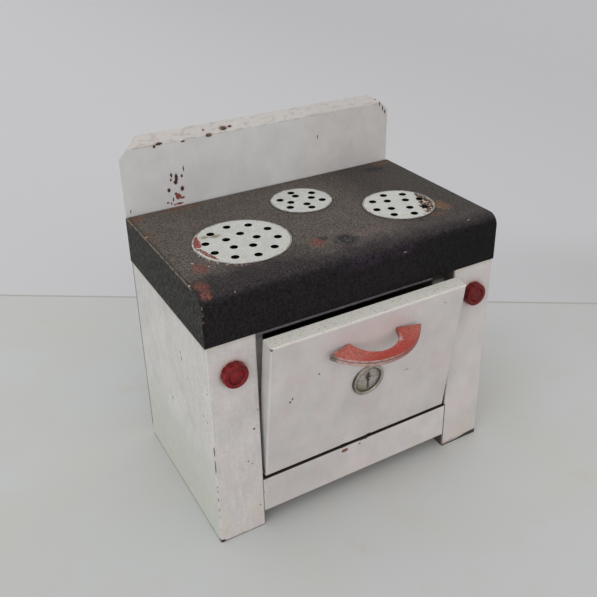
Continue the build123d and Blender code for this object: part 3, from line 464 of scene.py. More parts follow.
def left_paint(coat, colour):
    """The left panel: a band of fine pale and dark specks near its front fold, and its foot blackened."""
    side = coat.ramp(coat.facing[0], -0.5, -0.9)
    colour = coat.lay(colour, SIDE_PALE, side, coat.patches(9, 5, 0.42, 0.62, (1, 1, 2.8), 6), 0.3)
    colour = coat.shade(colour, coat.noise(4, 4, (1, 1, 5), 3), 0.2)
    colour = coat.shade(colour, coat.noise(2.4, 5, (1, 1, 1.5), 19), 0.3)
    band = coat.every(side, coat.within(coat.y, -76, -58, 6), coat.within(coat.z, 125, 230, 12))
    colour = coat.lay(colour, PALE_SPECK, band, coat.patches(1.7, 4, 0.54, 0.62, (1, 1, 1.6), 5), 0.45)
    colour = coat.lay(colour, GREY_SPECK, band, coat.patches(1.5, 4, 0.56, 0.64, (1, 1, 1.8), 21), 0.5)
    colour = coat.lay(colour, SIDE_LOW, side, coat.ramp(coat.z, 120, 40), 0.8)
    colour = coat.lay(colour, DULL_SPECK, side, coat.patches(1.9, 4, 0.64, 0.7, (1, 1, 2.2), 8), 0.3)
    corner = coat.every(coat.ramp(coat.x, -158, -161), coat.ramp(coat.y, -72, -77))
    foot = coat.add(coat.z, coat.times(coat.noise(2, 3, shift=4), 2.0))
    colour = coat.lay(colour, CORNER_BLACK, corner, coat.ramp(foot, 5.0, 4.0))
    return side_paint(coat, knob_halo(coat, colour, "left_knob"))


# Right side panel
FOOT_BROWN = (112, 92, 66)
FOOT_SHADOW = (42, 38, 34)


def right_paint(coat, colour):
    """The right panel: dirt along its foot, and a painted shadow under the outer corner of its pilaster."""
    low = coat.every(coat.ramp(coat.z, 9, 0), coat.patches(6, 3, 0.35, 0.6, shift=8))
    colour = coat.lay(colour, FOOT_BROWN, low, 0.8)
    # painted shadow under the bent-up outer corner of the pilaster
    rise = coat.less(coat.z, coat.times(coat.ramp(coat.x, 125, 160), 3.4))
    colour = coat.lay(colour, FOOT_SHADOW, coat.ramp(rise, 2.5, 1.5), coat.ramp(coat.y, -60, -70))
    return side_paint(coat, knob_halo(coat, colour, "right_knob"))


# Kick panel
KICK_CHIPS = [(-0.2, FACE_Y, 54.6, 1.3, 4, 1.1), (5.0, FACE_Y, 58.2, 5.0, 3, 0.6)]
KICK_PRIMER = [(-18.7, FACE_Y, 53.4, 4.2, 4, 2.1), (-20.6, FACE_Y, 58.6, 4.0, 3, 0.8)]
KICK_FLANGE = (46, 40, 36)
KICK_EDGE = (64, 56, 50)
KICK_SPECK = (146, 122, 84)


def kick_ground(coat, colour):
    """The kick panel's paint: a little lighter towards the right."""
    return coat.shade(front_light_tint(coat, colour), coat.ramp(coat.x, -60, 60), 0.13)


def kick_paint(coat, colour):
    """The kick panel: grime and painted shade on its upper flange, painted shade on faces that look down,
    its lower edge dark, and rusty specks near its left end.
    """
    # grime and painted shade on the upper flange, in the gap under the door
    colour = coat.lay(colour, KICK_FLANGE, coat.ramp(coat.facing[2], 0.5, 0.8))
    # painted shade on faces that look down
    colour = coat.lay(colour, GAP_SHADE, coat.ramp(coat.facing[2], -0.5, -0.8))
    colour = coat.lay(colour, KICK_EDGE, coat.ramp(coat.z, KICK_BOTTOM + 2.1, KICK_BOTTOM + 0.7), 0.85)
    specks = coat.every(coat.patches(1.3, 4, 0.6, 0.66, shift=5), coat.ramp(coat.x, -96, -110))
    return coat.lay(colour, KICK_SPECK, specks, 0.7)


# Door
DOOR_CHIPS = [
    (-110.8, -100.4, 224.2, 1.8, 2.6, 1.6),
    (-58.0, -93.9, 175.0, 0.8, 3, 0.9),
    (-86.0, -91.1, 155.0, 0.6, 3, 1.6),
    (-88.5, -91.1, 152.0, 1.0, 3, 1.2),
    (49.7, -88.8, 137.7, 3.0, 3, 0.4),
    (86.5, -99.0, 211.4, 0.8, 3, 0.5),
    (11.0, -78.4, 62.6, 2.6, 3, 0.9),
    (28.0, -78.3, 61.8, 13.0, 3, 0.5),
    (-20.0, -78.3, 62.2, 4.0, 3, 0.7),
]
PULL_RUB = [(2, -96, 202, 54, 16, 24)]  # round the pull
RUB_PINK = (204, 162, 152)
FLANGE = (202, 201, 192)
FLANGE_SPECK = (134, 126, 114)


def door_paint(coat, colour):
    """The door: rubbed pink round the pull, its upper flange painted lighter as lit from above and specked
    with dirt, and painted shade on its lower one.
    """
    colour = coat.lay(colour, RUB_PINK, coat.ramp(coat.spots(PULL_RUB, 6, 9), 1.0, 0.5), 0.22)
    level = coat.ramp(coat.facing[2], 0.4, 0.8)
    # painted light: the upward flange made lighter than the face
    colour = coat.lay(colour, FLANGE, level, 0.85)
    colour = coat.lay(colour, FLANGE_SPECK, level, coat.patches(1.8, 4, 0.55, 0.63, shift=5), 0.5)
    # painted shade on faces that look down
    return coat.lay(colour, GAP_SHADE, coat.ramp(coat.facing[2], -0.5, -0.8))


# Backsplash. Its spots are given by x, z and their reach, and reach back over its bent strip
SPLASH_DEEP = 12
SPLASH_CHIPS = [
    (-126.0, 351.5, 1.5, 1.6),
    (-121.0, 353.4, 3.6, 1.5),
    (-94.7, 351.4, 2.2, 0.9),
    (-69.7, 358.1, 1.4, 0.8),
    (-65.6, 352.8, 3.4, 1.9),
    (-47.6, 356.8, 4.4, 1.9),
    (-39.6, 357.2, 2.4, 1.1),
    (-110.8, 317.0, 1.1, 2.4),
    (-111.8, 311.8, 1.2, 1.2),
    (-105.6, 313.0, 1.7, 4.4),
    (-106.8, 308.4, 2.0, 2.4),
    (-96.9, 321.8, 0.7, 2.8),
    (-99.4, 314.0, 1.0, 1.8),
    (-114.9, 300.8, 1.7, 2.3),
    (-100.0, 299.8, 2.1, 2.6),
    (-111.0, 289.4, 0.7, 2.3),
    (-117.3, 287.0, 1.1, 1.1),
    (-113.6, 285.4, 0.8, 1.4),
    (67.7, 327.1, 0.5, 2.2),
    (-158.4, 286.6, 0.5, 1.7),
    (153.0, 352.0, 0.7, 2.6),
    (157.4, 346.4, 0.7, 3.0),
    (160.6, 341.6, 0.9, 2.2),
    (149.6, 357.6, 1.8, 0.8),
]
SPLASH_PRIMER = [
    (-104.9, 291.8, 3.0, 3.2),
    (-100.2, 289.4, 2.6, 1.3),
    (-104.2, 283.6, 4.0, 1.2),
    (-107.4, 295.4, 1.8, 1.6),
    (-109.6, 283.2, 1.6, 0.9),
]
COOL_WHITE = (182, 190, 189)
DULL_WHITE = (172, 168, 162)
FOLD_BROWN = (140, 116, 104)
STRIP_BROWN = (156, 142, 130)


def splash_ground(coat, colour):
    """The backsplash's paint: cooler and lighter towards its left, and dull on its bent strip."""
    strip = coat.ramp(coat.facing[2], 0.4, 0.6)
    colour = coat.lay(colour, COOL_WHITE, coat.ramp(coat.x, 90, 0), coat.less(1.0, strip), 0.3)
    colour = coat.shade(colour, coat.ramp(coat.x, 120, 0), 0.1)
    return coat.lay(colour, DULL_WHITE, strip, 0.4)


def splash_paint(coat, colour):
    """The backsplash: its paint rubbed brown along the fold and on the bent strip."""
    fold = coat.every(coat.ramp(coat.off(coat.z, SPLASH_FOLD_Z), 1.6, 0.6), coat.ramp(coat.y, 124, 121))
    colour = coat.lay(colour, FOLD_BROWN, fold, coat.patches(5, 4, 0.45, 0.62, (2, 1, 1), 6), 0.4)
    strip = coat.ramp(coat.facing[2], 0.4, 0.6)
    return coat.lay(colour, STRIP_BROWN, strip, coat.patches(4, 5, 0.5, 0.66, (2, 1, 1), 12), 0.5)


# Cooktop: black wrinkle paint
BLACK_FRONT = (25, 23, 25)
BLACK_FRONT_RIGHT = (17, 15, 17)
# painted light: the sides lighter than the front; dust and painted sheen make the top lighter still
BLACK_SIDE = (43, 42, 40)
BLACK_TOP = (85, 78, 73)
BLACK_TOP_FRONT = (50, 45, 46)
BLACK_TOP_RIGHT = (64, 59, 56)
HOLE_SHADE = (9, 8, 8)
DUST = (128, 116, 104)
RUBBED_EDGE = (122, 112, 100)
RUBBED_BEND = (136, 124, 112)
BEND_SHADOW = (38, 34, 34)
CORNER_PALE = (150, 132, 110)
CORNER_RUST = (120, 60, 50)
YELLOW_PRIMER = (172, 162, 142)
TOP_BROWN = on_top(
    [(-158, 108, 14, 10), (-106, 112, 26, 9), (114, -44, 12, 5), (150, 108, 16, 8), (-160, 60, 5, 14)]
)
TOP_RUST = on_top([(131, -27, 10, 17)])
TOP_GREEN = on_top([(-38.8, -56, 12, 10), (-46, -40, 13, 11), (-150, -50, 6, 6), (118, 104, 12, 6)])
TOP_TINT = on_top([(31, -42, 30, 10)])
TOP_PURPLE = on_top([(2, -79, 26, 9), (44, -77, 20, 8)], z=272, deep=8)
TOP_DARK = on_top([(1, -47, 14, 15), (-17, -33, 9, 5), (132, 96, 14, 8)])
TOP_RED = on_top([(-143, -28, 9, 12), (-155.5, -60, 8, 11)])
TOP_RED += on_top([(-157, -72, 7, 6)], z=278)
TOP_RED += on_top([(-26, -37, 9, 11)])
COOKTOP_MARKS = (  # spots, colour, strength and the pattern's shift
    (TOP_BROWN, (100, 72, 54), 0.7, 5),
    (TOP_RUST, (108, 82, 62), 1.0, 14),
    (TOP_GREEN, (59, 58, 53), 0.85, 0),
    (TOP_TINT, (100, 84, 82), 0.5, 11),
    (TOP_PURPLE, (48, 36, 50), 0.5, 15),
    (TOP_DARK, (42, 43, 45), 1.0, 11),
    (TOP_RED, (112, 68, 59), 0.8, 1),
)
YELLOW_CHIPS = [
    (-145.4, -14.7, 281.6, 1.3, 1.5, 3),
    (-134.6, -27.9, 281.6, 1.1, 1.2, 3),
    (-163.6, -52.1, 281.0, 1.2, 1.6, 2),
    (-162.6, 60.5, 281.4, 1.6, 1.2, 2),
    (-131.5, -77.0, 279.0, 1.0, 1.2, 2),
    (-79.0, -76.4, 280.0, 1.4, 0.8, 2),
    (48.0, -78.8, 270.0, 2.2, 3, 0.3),
    (131.9, -72.0, 281.0, 1.6, 0.5, 2),
]

# Burners: x, y and radius, and their white paint
LARGE_BURNER = (-86.15, 3.15, 48.4)
MEDIUM_BURNER = (93.45, -5.35, 38.3)
SMALL_BURNER = (11.65, 59.25, 33.3)
LARGE_WEAR_BEARING = 172  # degrees from +X, where the flaked paint of the large burner is parted in two
MEDIUM_WEAR_BEARING = 335  # degrees from +X, the middle of the medium burner's worn side
STAIN_SPOTS = on_top([(-115, 28, 7, 5), (-105, 25, 9, 5)], z=282)
BURNER_WHITE = (186, 187, 183)
BURNER_YELLOW = (180, 177, 160)
BURNER_SPECK = (128, 122, 112)
BURNER_RIM_DIRT_AND_SHADE = (98, 94, 88)
UPPER_LOBE = (126, 62, 60)
LOWER_LOBE = (110, 60, 54)
LOBE_FLECK = (190, 176, 168)
BURNER_STAIN = (112, 98, 68)
FINE_SHADOW_LINE = (128, 122, 118)
PAST_RIM = (172, 150, 144)
WORN_BROWN = (95, 75, 60)
WORN_DARK = (50, 42, 38)
WORN_PALE = (205, 188, 172)


def burner_stencil(coat):
    """Where the painted discs are, on top of their raised rounds, and where their edges darken with dirt and
    painted shade.
    """
    discs, rims = [], []
    for x, y, radius in (LARGE_BURNER, MEDIUM_BURNER, SMALL_BURNER):
        offset = coat.vector("SUBTRACT", coat.place, (x, y, 0))
        reach = coat.vector("LENGTH", coat.vector("MULTIPLY", offset, (1, 1, 0)))
        discs.append(coat.ramp(reach, radius - 0.1, radius - 0.5))
        rims.append(coat.within(reach, radius - 1.5, radius - 0.7, 0.3))
    rim_dirt_and_shade = coat.every(coat.either(*rims), coat.patches(7, 4, 0.38, 0.5, shift=17))
    return coat.every(coat.ramp(coat.z, BURNER_TOP - 0.7, BURNER_TOP - 0.3), coat.either(*discs)), rim_dirt_and_shade


def burner_white(coat, rim_dirt_and_shade):
    """The discs' paint: white with mottling, yellowed patches and specks, and dirt with painted shade at its
    edges.
    """
    white = coat.shade(BURNER_WHITE, coat.noise(12, 4), 0.3)
    white = coat.shade(white, coat.noise(1.2, 3, shift=9), 0.7)
    white = coat.lay(white, BURNER_YELLOW, coat.patches(9, 4, 0.5, 0.68, shift=10), 0.5)
    white = coat.lay(white, BURNER_SPECK, coat.specks(3.1, 0.5, 0.4), 0.7)
    return coat.lay(white, BURNER_RIM_DIRT_AND_SHADE, rim_dirt_and_shade, 0.8)


def large_burner_wear(coat, white, reach, bearing):
    """The large burner: a stain, primer in two lobes inside its left rim, and a painted shadow line at its
    front.
    """
    radius = LARGE_BURNER[2]
    upper = coat.every(coat.ramp(bearing, -42, -12), coat.ramp(bearing, 0, -1.5))
    lower = coat.every(coat.ramp(bearing, 0.3, 2.5), coat.ramp(bearing, 48, 30), 0.66)
    outer = coat.add(reach, coat.every(coat.ramp(bearing, -2, 14), 2.2))
    depth = coat.add(coat.times(coat.either(upper, lower), 7.0), outer, coat.times(coat.noise(2.2, 4), 3.4))
    flaked = coat.ramp(depth, radius - 0.1, radius + 0.3)
    flaked = coat.every(flaked, coat.ramp(outer, radius - 1.4, radius - 1.9))
    lobe = coat.lay(UPPER_LOBE, LOWER_LOBE, coat.ramp(bearing, -1, 1))
    lobe = coat.shade(lobe, coat.noise(2.0, 4, shift=4), 1.8)
    flecks = coat.every(coat.patches(1.5, 3, 0.55, 0.62, shift=7), coat.ramp(bearing, -45, 5))
    lobe = coat.lay(lobe, LOBE_FLECK, flecks, 0.8)
    stain = coat.ramp(coat.spots(STAIN_SPOTS, 3, 4), 1.1, 0.1)
    white = coat.lay(white, BURNER_STAIN, stain, 0.75)
    white = coat.lay(white, lobe, flaked)
    line = coat.every(coat.within(reach, radius - 1.1, radius - 0.7, 0.2), coat.within(bearing, 43, 88, 6))
    return coat.lay(white, FINE_SHADOW_LINE, line, 0.6)


def past_large_burner(coat, colour, reach, bearing):
    """Bits of white paint past the front left rim of the large burner."""
    radius = LARGE_BURNER[2]
    past = coat.every(coat.ramp(reach, radius + 2.8, radius - 0.6), coat.within(bearing, 3, 73, 12))
    past = coat.every(past, coat.patches(2.4, 4, 0.5, 0.6, shift=3))
    return coat.lay(colour, PAST_RIM, past, 0.8)


def medium_burner_wear(coat, white):
    """The medium burner: its front right worn through to a pale line at the rim."""
    x, y, radius = MEDIUM_BURNER
    reach, bearing = coat.polar(x, y, MEDIUM_WEAR_BEARING)
    near = coat.ramp(coat.math("ABSOLUTE", bearing), 72, 14)
    depth = coat.add(coat.times(near, 17), reach, coat.wobble(22, 4, 5, shift=8))
    worn = coat.ramp(depth, radius + 1.5, radius + 3)
    worn = coat.every(worn, coat.ramp(reach, radius - 1.2, radius - 2.2))
    brown = coat.lay(WORN_BROWN, WORN_DARK, coat.patches(3.0, 4, 0.42, 0.58, shift=6))
    brown = coat.lay(brown, WORN_PALE, coat.patches(2.2, 4, 0.56, 0.6, shift=2))
    return coat.lay(white, brown, worn, coat.ramp(near, 0.02, 0.2))


def burner_paint(coat, colour):
    """The white discs on the cooktop, worn to the primer at the left and to bare sheet at the right."""
    stencil, rim_dirt_and_shade = burner_stencil(coat)
    white = burner_white(coat, rim_dirt_and_shade)
    x, y, _ = LARGE_BURNER
    reach, bearing = coat.polar(x, y, LARGE_WEAR_BEARING)
    bearing = coat.add(bearing, coat.wobble(6, 2.2, 4))
    white = large_burner_wear(coat, white, reach, bearing)
    colour = past_large_burner(coat, colour, reach, bearing)
    white = medium_burner_wear(coat, white)
    return coat.lay(colour, white, stencil)


def black_ground(coat, side):
    """Black paint: lighter and browner on top from dust and painted sheen, lighter on its sides than its
    front as painted light, and darker towards its front and its right.
    """
    # dust and painted sheen: lighter and browner where the faces look up
    dust_and_sheen = coat.ramp(coat.add(coat.facing[2], coat.wobble(0.35, 9, 4, shift=12)), 0.35, 0.98)
    back = coat.add(coat.y, coat.wobble(36, 16, 4, shift=3))
    back = coat.less(back, coat.times(coat.ramp(coat.x, -30, -80), 16))
    top = coat.lay(BLACK_TOP, BLACK_TOP_FRONT, coat.ramp(back, -44, -74))
    top = coat.shade(top, coat.noise(26, 5), 0.5)
    top = coat.lay(top, BLACK_TOP_RIGHT, coat.ramp(coat.x, 40, 105), coat.ramp(coat.y, -74, -48))
    front = coat.lay(BLACK_FRONT, BLACK_FRONT_RIGHT, coat.ramp(coat.x, 0, 150))
    return coat.lay(coat.lay(front, BLACK_SIDE, side), top, dust_and_sheen)


def wrinkles(coat, colour, side, flat):
    """The light and dark of the wrinkles, stronger on the upright faces and most at the sides."""
    colour = coat.shade(colour, coat.noise(1.9, 3, shift=5), 3.4)
    swing = coat.every(coat.less(1.0, flat), coat.less(coat.noise(2.4, 3, (1, 1.2, 1.8)), 0.5))
    swing = coat.times(swing, coat.add(coat.times(side, 2.6), 2.4))
    colour = coat.shade(colour, coat.add(swing, 0.5), 1.0)
    return coat.lay(colour, DUST, coat.patches(1.4, 4, 0.66, 0.72, shift=2), flat, 0.5)


def cooktop_wear(coat, colour, flat):
    """Rubbed edges, the bend over the left skirt rubbed pale with a painted shadow line beside it, and
    chips.
    """
    edge = coat.every(coat.worn_edge(0.8), coat.patches(6, 4, 0.5, 0.64, shift=9))
    colour = coat.lay(colour, RUBBED_EDGE, edge, 0.5)
    bend = coat.every(
        coat.ramp(coat.x, COOKTOP_LEFT + 1.6, COOKTOP_LEFT + 0.8),
        coat.within(coat.facing[2], 0.25, 0.9, 0.1),
        coat.ramp(coat.y, -64, -56),
    )
    colour = coat.lay(colour, RUBBED_BEND, bend, coat.patches(9, 4, 0.38, 0.52, shift=14), 0.6)
    beside = coat.within(coat.x, COOKTOP_LEFT + 1.8, COOKTOP_LEFT + 3.2, 0.4)
    colour = coat.lay(colour, BEND_SHADOW, beside, flat, 0.5)
    corner = coat.every(
        coat.ramp(coat.x, COOKTOP_LEFT + 2.4, COOKTOP_LEFT + 0.8),
        coat.ramp(coat.y, COOKTOP_FRONT + 2.05, COOKTOP_FRONT + 0.65),
        coat.ramp(coat.z, 250, 256),
    )
    flecks = coat.lay(CORNER_PALE, CORNER_RUST, coat.patches(4, 2, 0.4, 0.6, shift=1))
    colour = coat.lay(colour, flecks, corner, coat.patches(2.4, 4, 0.52, 0.6, shift=15), 0.8)
    chips = coat.ramp(coat.spots(YELLOW_CHIPS, 0.8, 1.4), 1.1, 0.8)
    return coat.lay(colour, YELLOW_PRIMER, chips, 0.85)


def painted_shade_inside(coat, colour):
    """The walls of the vent holes and the pan's underside, painted dark as shade."""
    wall = coat.every(
        coat.ramp(coat.facing[2], 0.3, 0.15), coat.ramp(coat.z, COOKTOP_TOP - 1.2, COOKTOP_TOP - 0.9)
    )
    across = coat.math("ABSOLUTE", coat.x)
    inboard = coat.every(coat.ramp(across, 150, 148), coat.ramp(coat.y, -80, -76))
    under = coat.ramp(coat.facing[2], -0.4, -0.6)
    return coat.lay(colour, HOLE_SHADE, coat.either(coat.every(wall, inboard), under))


def wrinkle_paint():
    """The cooktop: black wrinkle paint, with its marks, its wear and its painted burners."""
    coat = Finish("black_wrinkle_paint", roughness=0.6, specular=0.12)
    side = coat.ramp(coat.math("ABSOLUTE", coat.facing[0]), 0.5, 0.9)
    flat = coat.ramp(coat.facing[2], 0.4, 0.9)
    colour = black_ground(coat, side)
    for places, tint, amount, shift in COOKTOP_MARKS:
        near = coat.ramp(coat.spots(places, 4, 7), 1.15, 0.5)
        colour = coat.lay(colour, tint, near, coat.patches(4, 4, 0.3, 0.55, shift=shift), amount)
    colour = wrinkles(coat, colour, side, flat)
    colour = cooktop_wear(coat, colour, flat)
    colour = burner_paint(coat, colour)
    colour = painted_shade_inside(coat, colour)
    coat.relief(coat.noise(1.5, 3, shift=1), 0.45)
    coat.relief(coat.noise(24, 2), 0.5)
    return coat.done(colour)


# Pull: the red of its upper face, and what its flanks and ends show
PULL_RED = (166, 70, 60)
PULL_RED_DARK = (148, 54, 47)
PULL_HORN = (156, 92, 82)
PULL_PINK = (184, 112, 98)
PULL_BRIGHT = (176, 66, 50)
PULL_SPECK = (196, 128, 114)
PULL_FRONT = (154, 54, 43)
PULL_CHIP = (178, 158, 148)
FLANK_PALE = (168, 142, 135)
FLANK_BROWN = (142, 114, 108)
FLANK_RED = (148, 62, 54)
PULL_EDGE = (88, 52, 46)
PULL_TIP = (86, 80, 76)
HORNS_MIDDLE = 6
HORN_CHIP = [(20, -107, 200, 5, 11, 8)]


def pull_red(coat):
    """The red paint, pinker on the two horns, specked towards the left and chipped inside the right horn."""
    red = coat.lay(PULL_RED, PULL_RED_DARK, coat.patches(6, 4, 0.35, 0.7))
    red = coat.lay(red, PULL_HORN, coat.ramp(coat.off(coat.x, HORNS_MIDDLE), 12, 34), 0.7)
    red = coat.lay(red, PULL_PINK, coat.patches(2.8, 4, 0.48, 0.6, shift=9), coat.ramp(coat.x, 34, 4), 0.6)
    red = coat.lay(red, PULL_BRIGHT, coat.patches(3.4, 4, 0.5, 0.62, shift=16), 0.6)
    red = coat.shade(red, coat.noise(2.0, 4, shift=6), 1.7)
    specks = coat.every(coat.patches(1.3, 4, 0.56, 0.64, shift=3), coat.ramp(coat.x, 20, -40))
    red = coat.lay(red, PULL_SPECK, specks, 0.6)
    red = coat.lay(red, PULL_FRONT, coat.ramp(coat.y, -117, -127), 0.7)
    chip = coat.ramp(coat.spots(HORN_CHIP, 1.6, 2.4), 1.1, 0.7)
    return coat.lay(red, PULL_CHIP, chip, coat.patches(1.8, 3, 0.42, 0.5, shift=7), 0.85)


def pull_paint():
    """The pull: red paint on its upper face, rubbed to pink and worn off its flanks to bare metal."""
    coat = Finish("red_pull_paint", roughness=0.42, specular=0.4)
    red = pull_red(coat)
    upper = coat.vector("DOT_PRODUCT", coat.joined(coat.facing), DOOR_UP)
    flank = coat.every(coat.ramp(upper, 0.75, 0.45), coat.ramp(upper, -0.9, -0.6))
    pale = coat.lay(FLANK_PALE, FLANK_BROWN, coat.patches(4, 4, 0.4, 0.65, shift=5))
    pale = coat.lay(pale, FLANK_RED, coat.ramp(coat.x, -10, 25), 0.8)
    pale = coat.shade(pale, coat.noise(1.8, 4, shift=2), 0.8)
    colour = coat.lay(red, pale, flank)
    edge = coat.every(coat.worn_edge(0.9, 0.01, 0.08), coat.patches(3, 3, 0.3, 0.45, shift=13))
    colour = coat.lay(colour, PULL_EDGE, edge, 0.85)
    tips = coat.either(coat.ramp(coat.x, -46, -50), coat.ramp(coat.x, 49.5, 51.5))
    colour = coat.lay(colour, PULL_TIP, tips, 0.75)
    coat.relief(coat.noise(1.5, 3), 0.05)
    return coat.done(colour)


# Knobs
KNOB_RED = (114, 24, 27)
KNOB_RED_DARK = (88, 18, 22)
KNOB_EDGE = (140, 52, 50)
KNOB_DIRT = (66, 20, 24)
KNOB_RIGHT = (76, 16, 18)
RING_PITCH = 1.9


def knob_plastic():
    """The knobs: deep red moulded plastic with fine turned rings and painted highlights along them, with
    dirt in patches, the right one darker.
    """
    coat = Finish("red_knob_plastic", roughness=0.3, specular=0.2)
    colour = coat.lay(KNOB_RED, KNOB_RED_DARK, coat.patches(5, 4, 0.4, 0.7))
    edge = coat.every(coat.worn_edge(0.7, 0.02, 0.25), coat.patches(2, 3, 0.4, 0.6))
    colour = coat.lay(colour, KNOB_EDGE, edge, 0.5)
    colour = coat.lay(colour, KNOB_DIRT, coat.patches(1.2, 3, 0.6, 0.7, shift=4), 0.5)
    middle = middle_mm("right_knob")
    across = coat.less(coat.math("ABSOLUTE", coat.x), middle.x)
    reach = coat.vector("LENGTH", coat.joined((across, 0.0, coat.less(coat.z, middle.z))))
    wave = coat.math("SINE", coat.times(reach, math.tau / RING_PITCH))
    rings = coat.add(coat.times(wave, 0.5), 0.5)
    # painted highlights and shade: the colour lighter and darker along the rings
    colour = coat.shade(colour, rings, 0.7)
    colour = coat.lay(colour, KNOB_RIGHT, coat.ramp(coat.x, -5, 5), 0.45)
    coat.relief(rings, 0.3)
    coat.relief(coat.noise(2.2, 3), 0.08)
    return coat.done(colour, coat.ramp(coat.noise(3, 3), -0.2, 1.6))


METAL_STAIN = (96, 80, 62)


def metal(name, colour, dark, roughness, metallic, brushed=EVEN, stain=METAL_STAIN, stained=0.4):
    """Bare metal with tarnish in patches and fine marks, drawn out where it is brushed."""
    coat = Finish(name, roughness=roughness, metallic=metallic)
    base = coat.lay(colour, dark, coat.patches(12, 5, 0.35, 0.7))
    base = coat.lay(base, dark, coat.patches(0.8, 3, 0.5, 0.75, brushed, 2), 0.4)
    base = coat.lay(base, stain, coat.patches(9, 5, 0.58, 0.75, shift=6), stained)
    coat.relief(coat.noise(0.6, 2, brushed, 4), 0.03)
    coat.relief(coat.noise(25, 2), 0.4)
    return coat.done(base, coat.add(coat.times(coat.noise(7, 4, shift=1), 0.3), roughness - 0.15))


def plain(name, colour, dark, roughness, size, specular=0.5):
    """A simple mottled finish for a small or hidden piece."""
    coat = Finish(name, roughness=roughness, specular=specular)
    base = coat.lay(colour, dark, coat.patches(size, 4, 0.35, 0.7))
    base = coat.lay(base, dark, coat.specks(size, size / 6, 0.2), 0.5)
    coat.relief(coat.noise(size / 3, 3), 0.05)
    return coat.done(base)


# Oven liner
LINER_SOOTY = (84, 79, 74)
LINER_FACE_PAINTED_LIGHT = (206, 202, 194)
LINER_HEAD = (146, 142, 148)
LINER_HEAD_SHADE_RIGHT = (92, 90, 92)
LINER_LIT = (196, 194, 198)
LINER_END_SHADE = (58, 58, 54)
SOOT = (74, 62, 50)


def liner_steel():
    """The oven liner: sooty inside, and on the frame round its mouth painted light and shade: a pale face, a
    grey head darker towards the right and at its end, and a highlight band.
    """
    coat = Finish("liner_steel", roughness=0.55, metallic=0.1)
    # painted light: the frame's face made pale so that it reads lit in the gap
    frame_face = coat.ramp(coat.y, LINER_FRONT + 1.55, LINER_FRONT + 0.75)
    # painted shade and a painted highlight band on the head, as the gap under the skirt shows it
    head = coat.lay(LINER_HEAD, LINER_HEAD_SHADE_RIGHT, coat.ramp(coat.x, 10, 90))
    head = coat.lay(head, LINER_LIT, coat.within(coat.z, 216.6, 218, 0.5), 0.5)
    head = coat.lay(head, LINER_END_SHADE, coat.ramp(coat.x, 97, 101))
    shown = coat.lay(LINER_FACE_PAINTED_LIGHT, head, coat.ramp(coat.z, 205, 217))
    colour = coat.lay(LINER_SOOTY, shown, frame_face)
    colour = coat.shade(colour, coat.noise(9, 5), 0.7)
    colour = coat.lay(colour, SOOT, coat.patches(7, 5, 0.55, 0.72, shift=6), 0.5)
    coat.relief(coat.noise(25, 2), 0.4)
    return coat.done(colour, coat.ramp(coat.noise(7, 4, shift=1), -0.5, 1.4))


# Thermometer: the dial's scale and colours, and its bezel
TICKS = 24  # to a full turn
SCALE_HALF = 2.3  # radians either side of straight down
DIAL_SILVER = (158, 150, 143)
DIAL_DULL = (130, 122, 116)
DIAL_YELLOW = (122, 116, 72)
DIAL_RIM = (92, 86, 76)
DIAL_SPECK = (102, 94, 86)
DIAL_INK = (52, 48, 44)
PLATING = (172, 164, 152)
PLATING_DULL = (136, 128, 116)
PLATING_STAIN = (104, 94, 70)
PLATING_DIRT_AND_SHADE = (66, 60, 53)


def round_staff(coat):
    """On the dial: how far to the right of the staff, how far above it and how far from it."""
    offset = coat.vector("SUBTRACT", coat.place, STAFF_AT)
    across = coat.parts(offset)[0]
    up = coat.vector("DOT_PRODUCT", offset, DOOR_UP)
    reach = coat.math("SQRT", coat.add(coat.times(across, across), coat.times(up, up)))
    return across, up, reach


def dial_scale(coat, across, up, reach):
    """The tick marks of the dial and the line along their outer ends."""
    angle = coat.math("ARCTAN2", across, coat.times(up, -1.0))
    sector = coat.within(coat.math("ABSOLUTE", angle), -1, SCALE_HALF, 0.01)
    turn = coat.times(angle, TICKS / math.tau)
    off_tick = coat.off(turn, coat.math("ROUND", turn))
    tick = coat.ramp(coat.times(off_tick, reach), 1.25, 0.85)
    marks = coat.every(tick, coat.within(reach, 10.2, 12.6, 0.15), sector)
    line = coat.every(coat.within(reach, 12.5, 12.9, 0.12), sector)
    return coat.either(marks, line)


def dial_face():
    """The thermometer's dial: aged silver, with a scale round its lower side."""
    coat = Finish("dial_print", roughness=0.45, specular=0.4)
    across, up, reach = round_staff(coat)
    base = coat.lay(DIAL_SILVER, DIAL_DULL, coat.patches(5, 4, 0.35, 0.7))
    x, y, z = STAFF_AT
    yellow = coat.ramp(coat.spots([(x - 7, y, z - 9, 7, 9, 6)], 2, 3), 1.1, 0.2)
    base = coat.lay(base, DIAL_YELLOW, yellow, 0.7)
    base = coat.lay(base, DIAL_RIM, coat.ramp(reach, 12.4, 14.4))
    base = coat.lay(base, DIAL_SPECK, coat.patches(1.1, 4, 0.56, 0.66, shift=3), 0.5)
    return coat.done(coat.lay(base, DIAL_INK, dial_scale(coat, across, up, reach)))


def bezel_metal():
    """The thermometer's bezel: aged plating, dark with dirt and painted shade at its outer and inner edges.
    """
    coat = Finish("aged_plating", roughness=0.42, metallic=0.6)
    reach = round_staff(coat)[2]
    colour = coat.lay(PLATING, PLATING_DULL, coat.patches(6, 4, 0.35, 0.7))
    colour = coat.lay(colour, PLATING_STAIN, coat.patches(4, 4, 0.55, 0.7, shift=6), 0.5)
    lines = coat.either(coat.ramp(reach, 17.1, 17.7), coat.ramp(reach, 15.2, 14.5))
    colour = coat.lay(colour, PLATING_DIRT_AND_SHADE, lines, 0.9)
    coat.relief(coat.noise(2, 3), 0.05)
    return coat.done(colour)


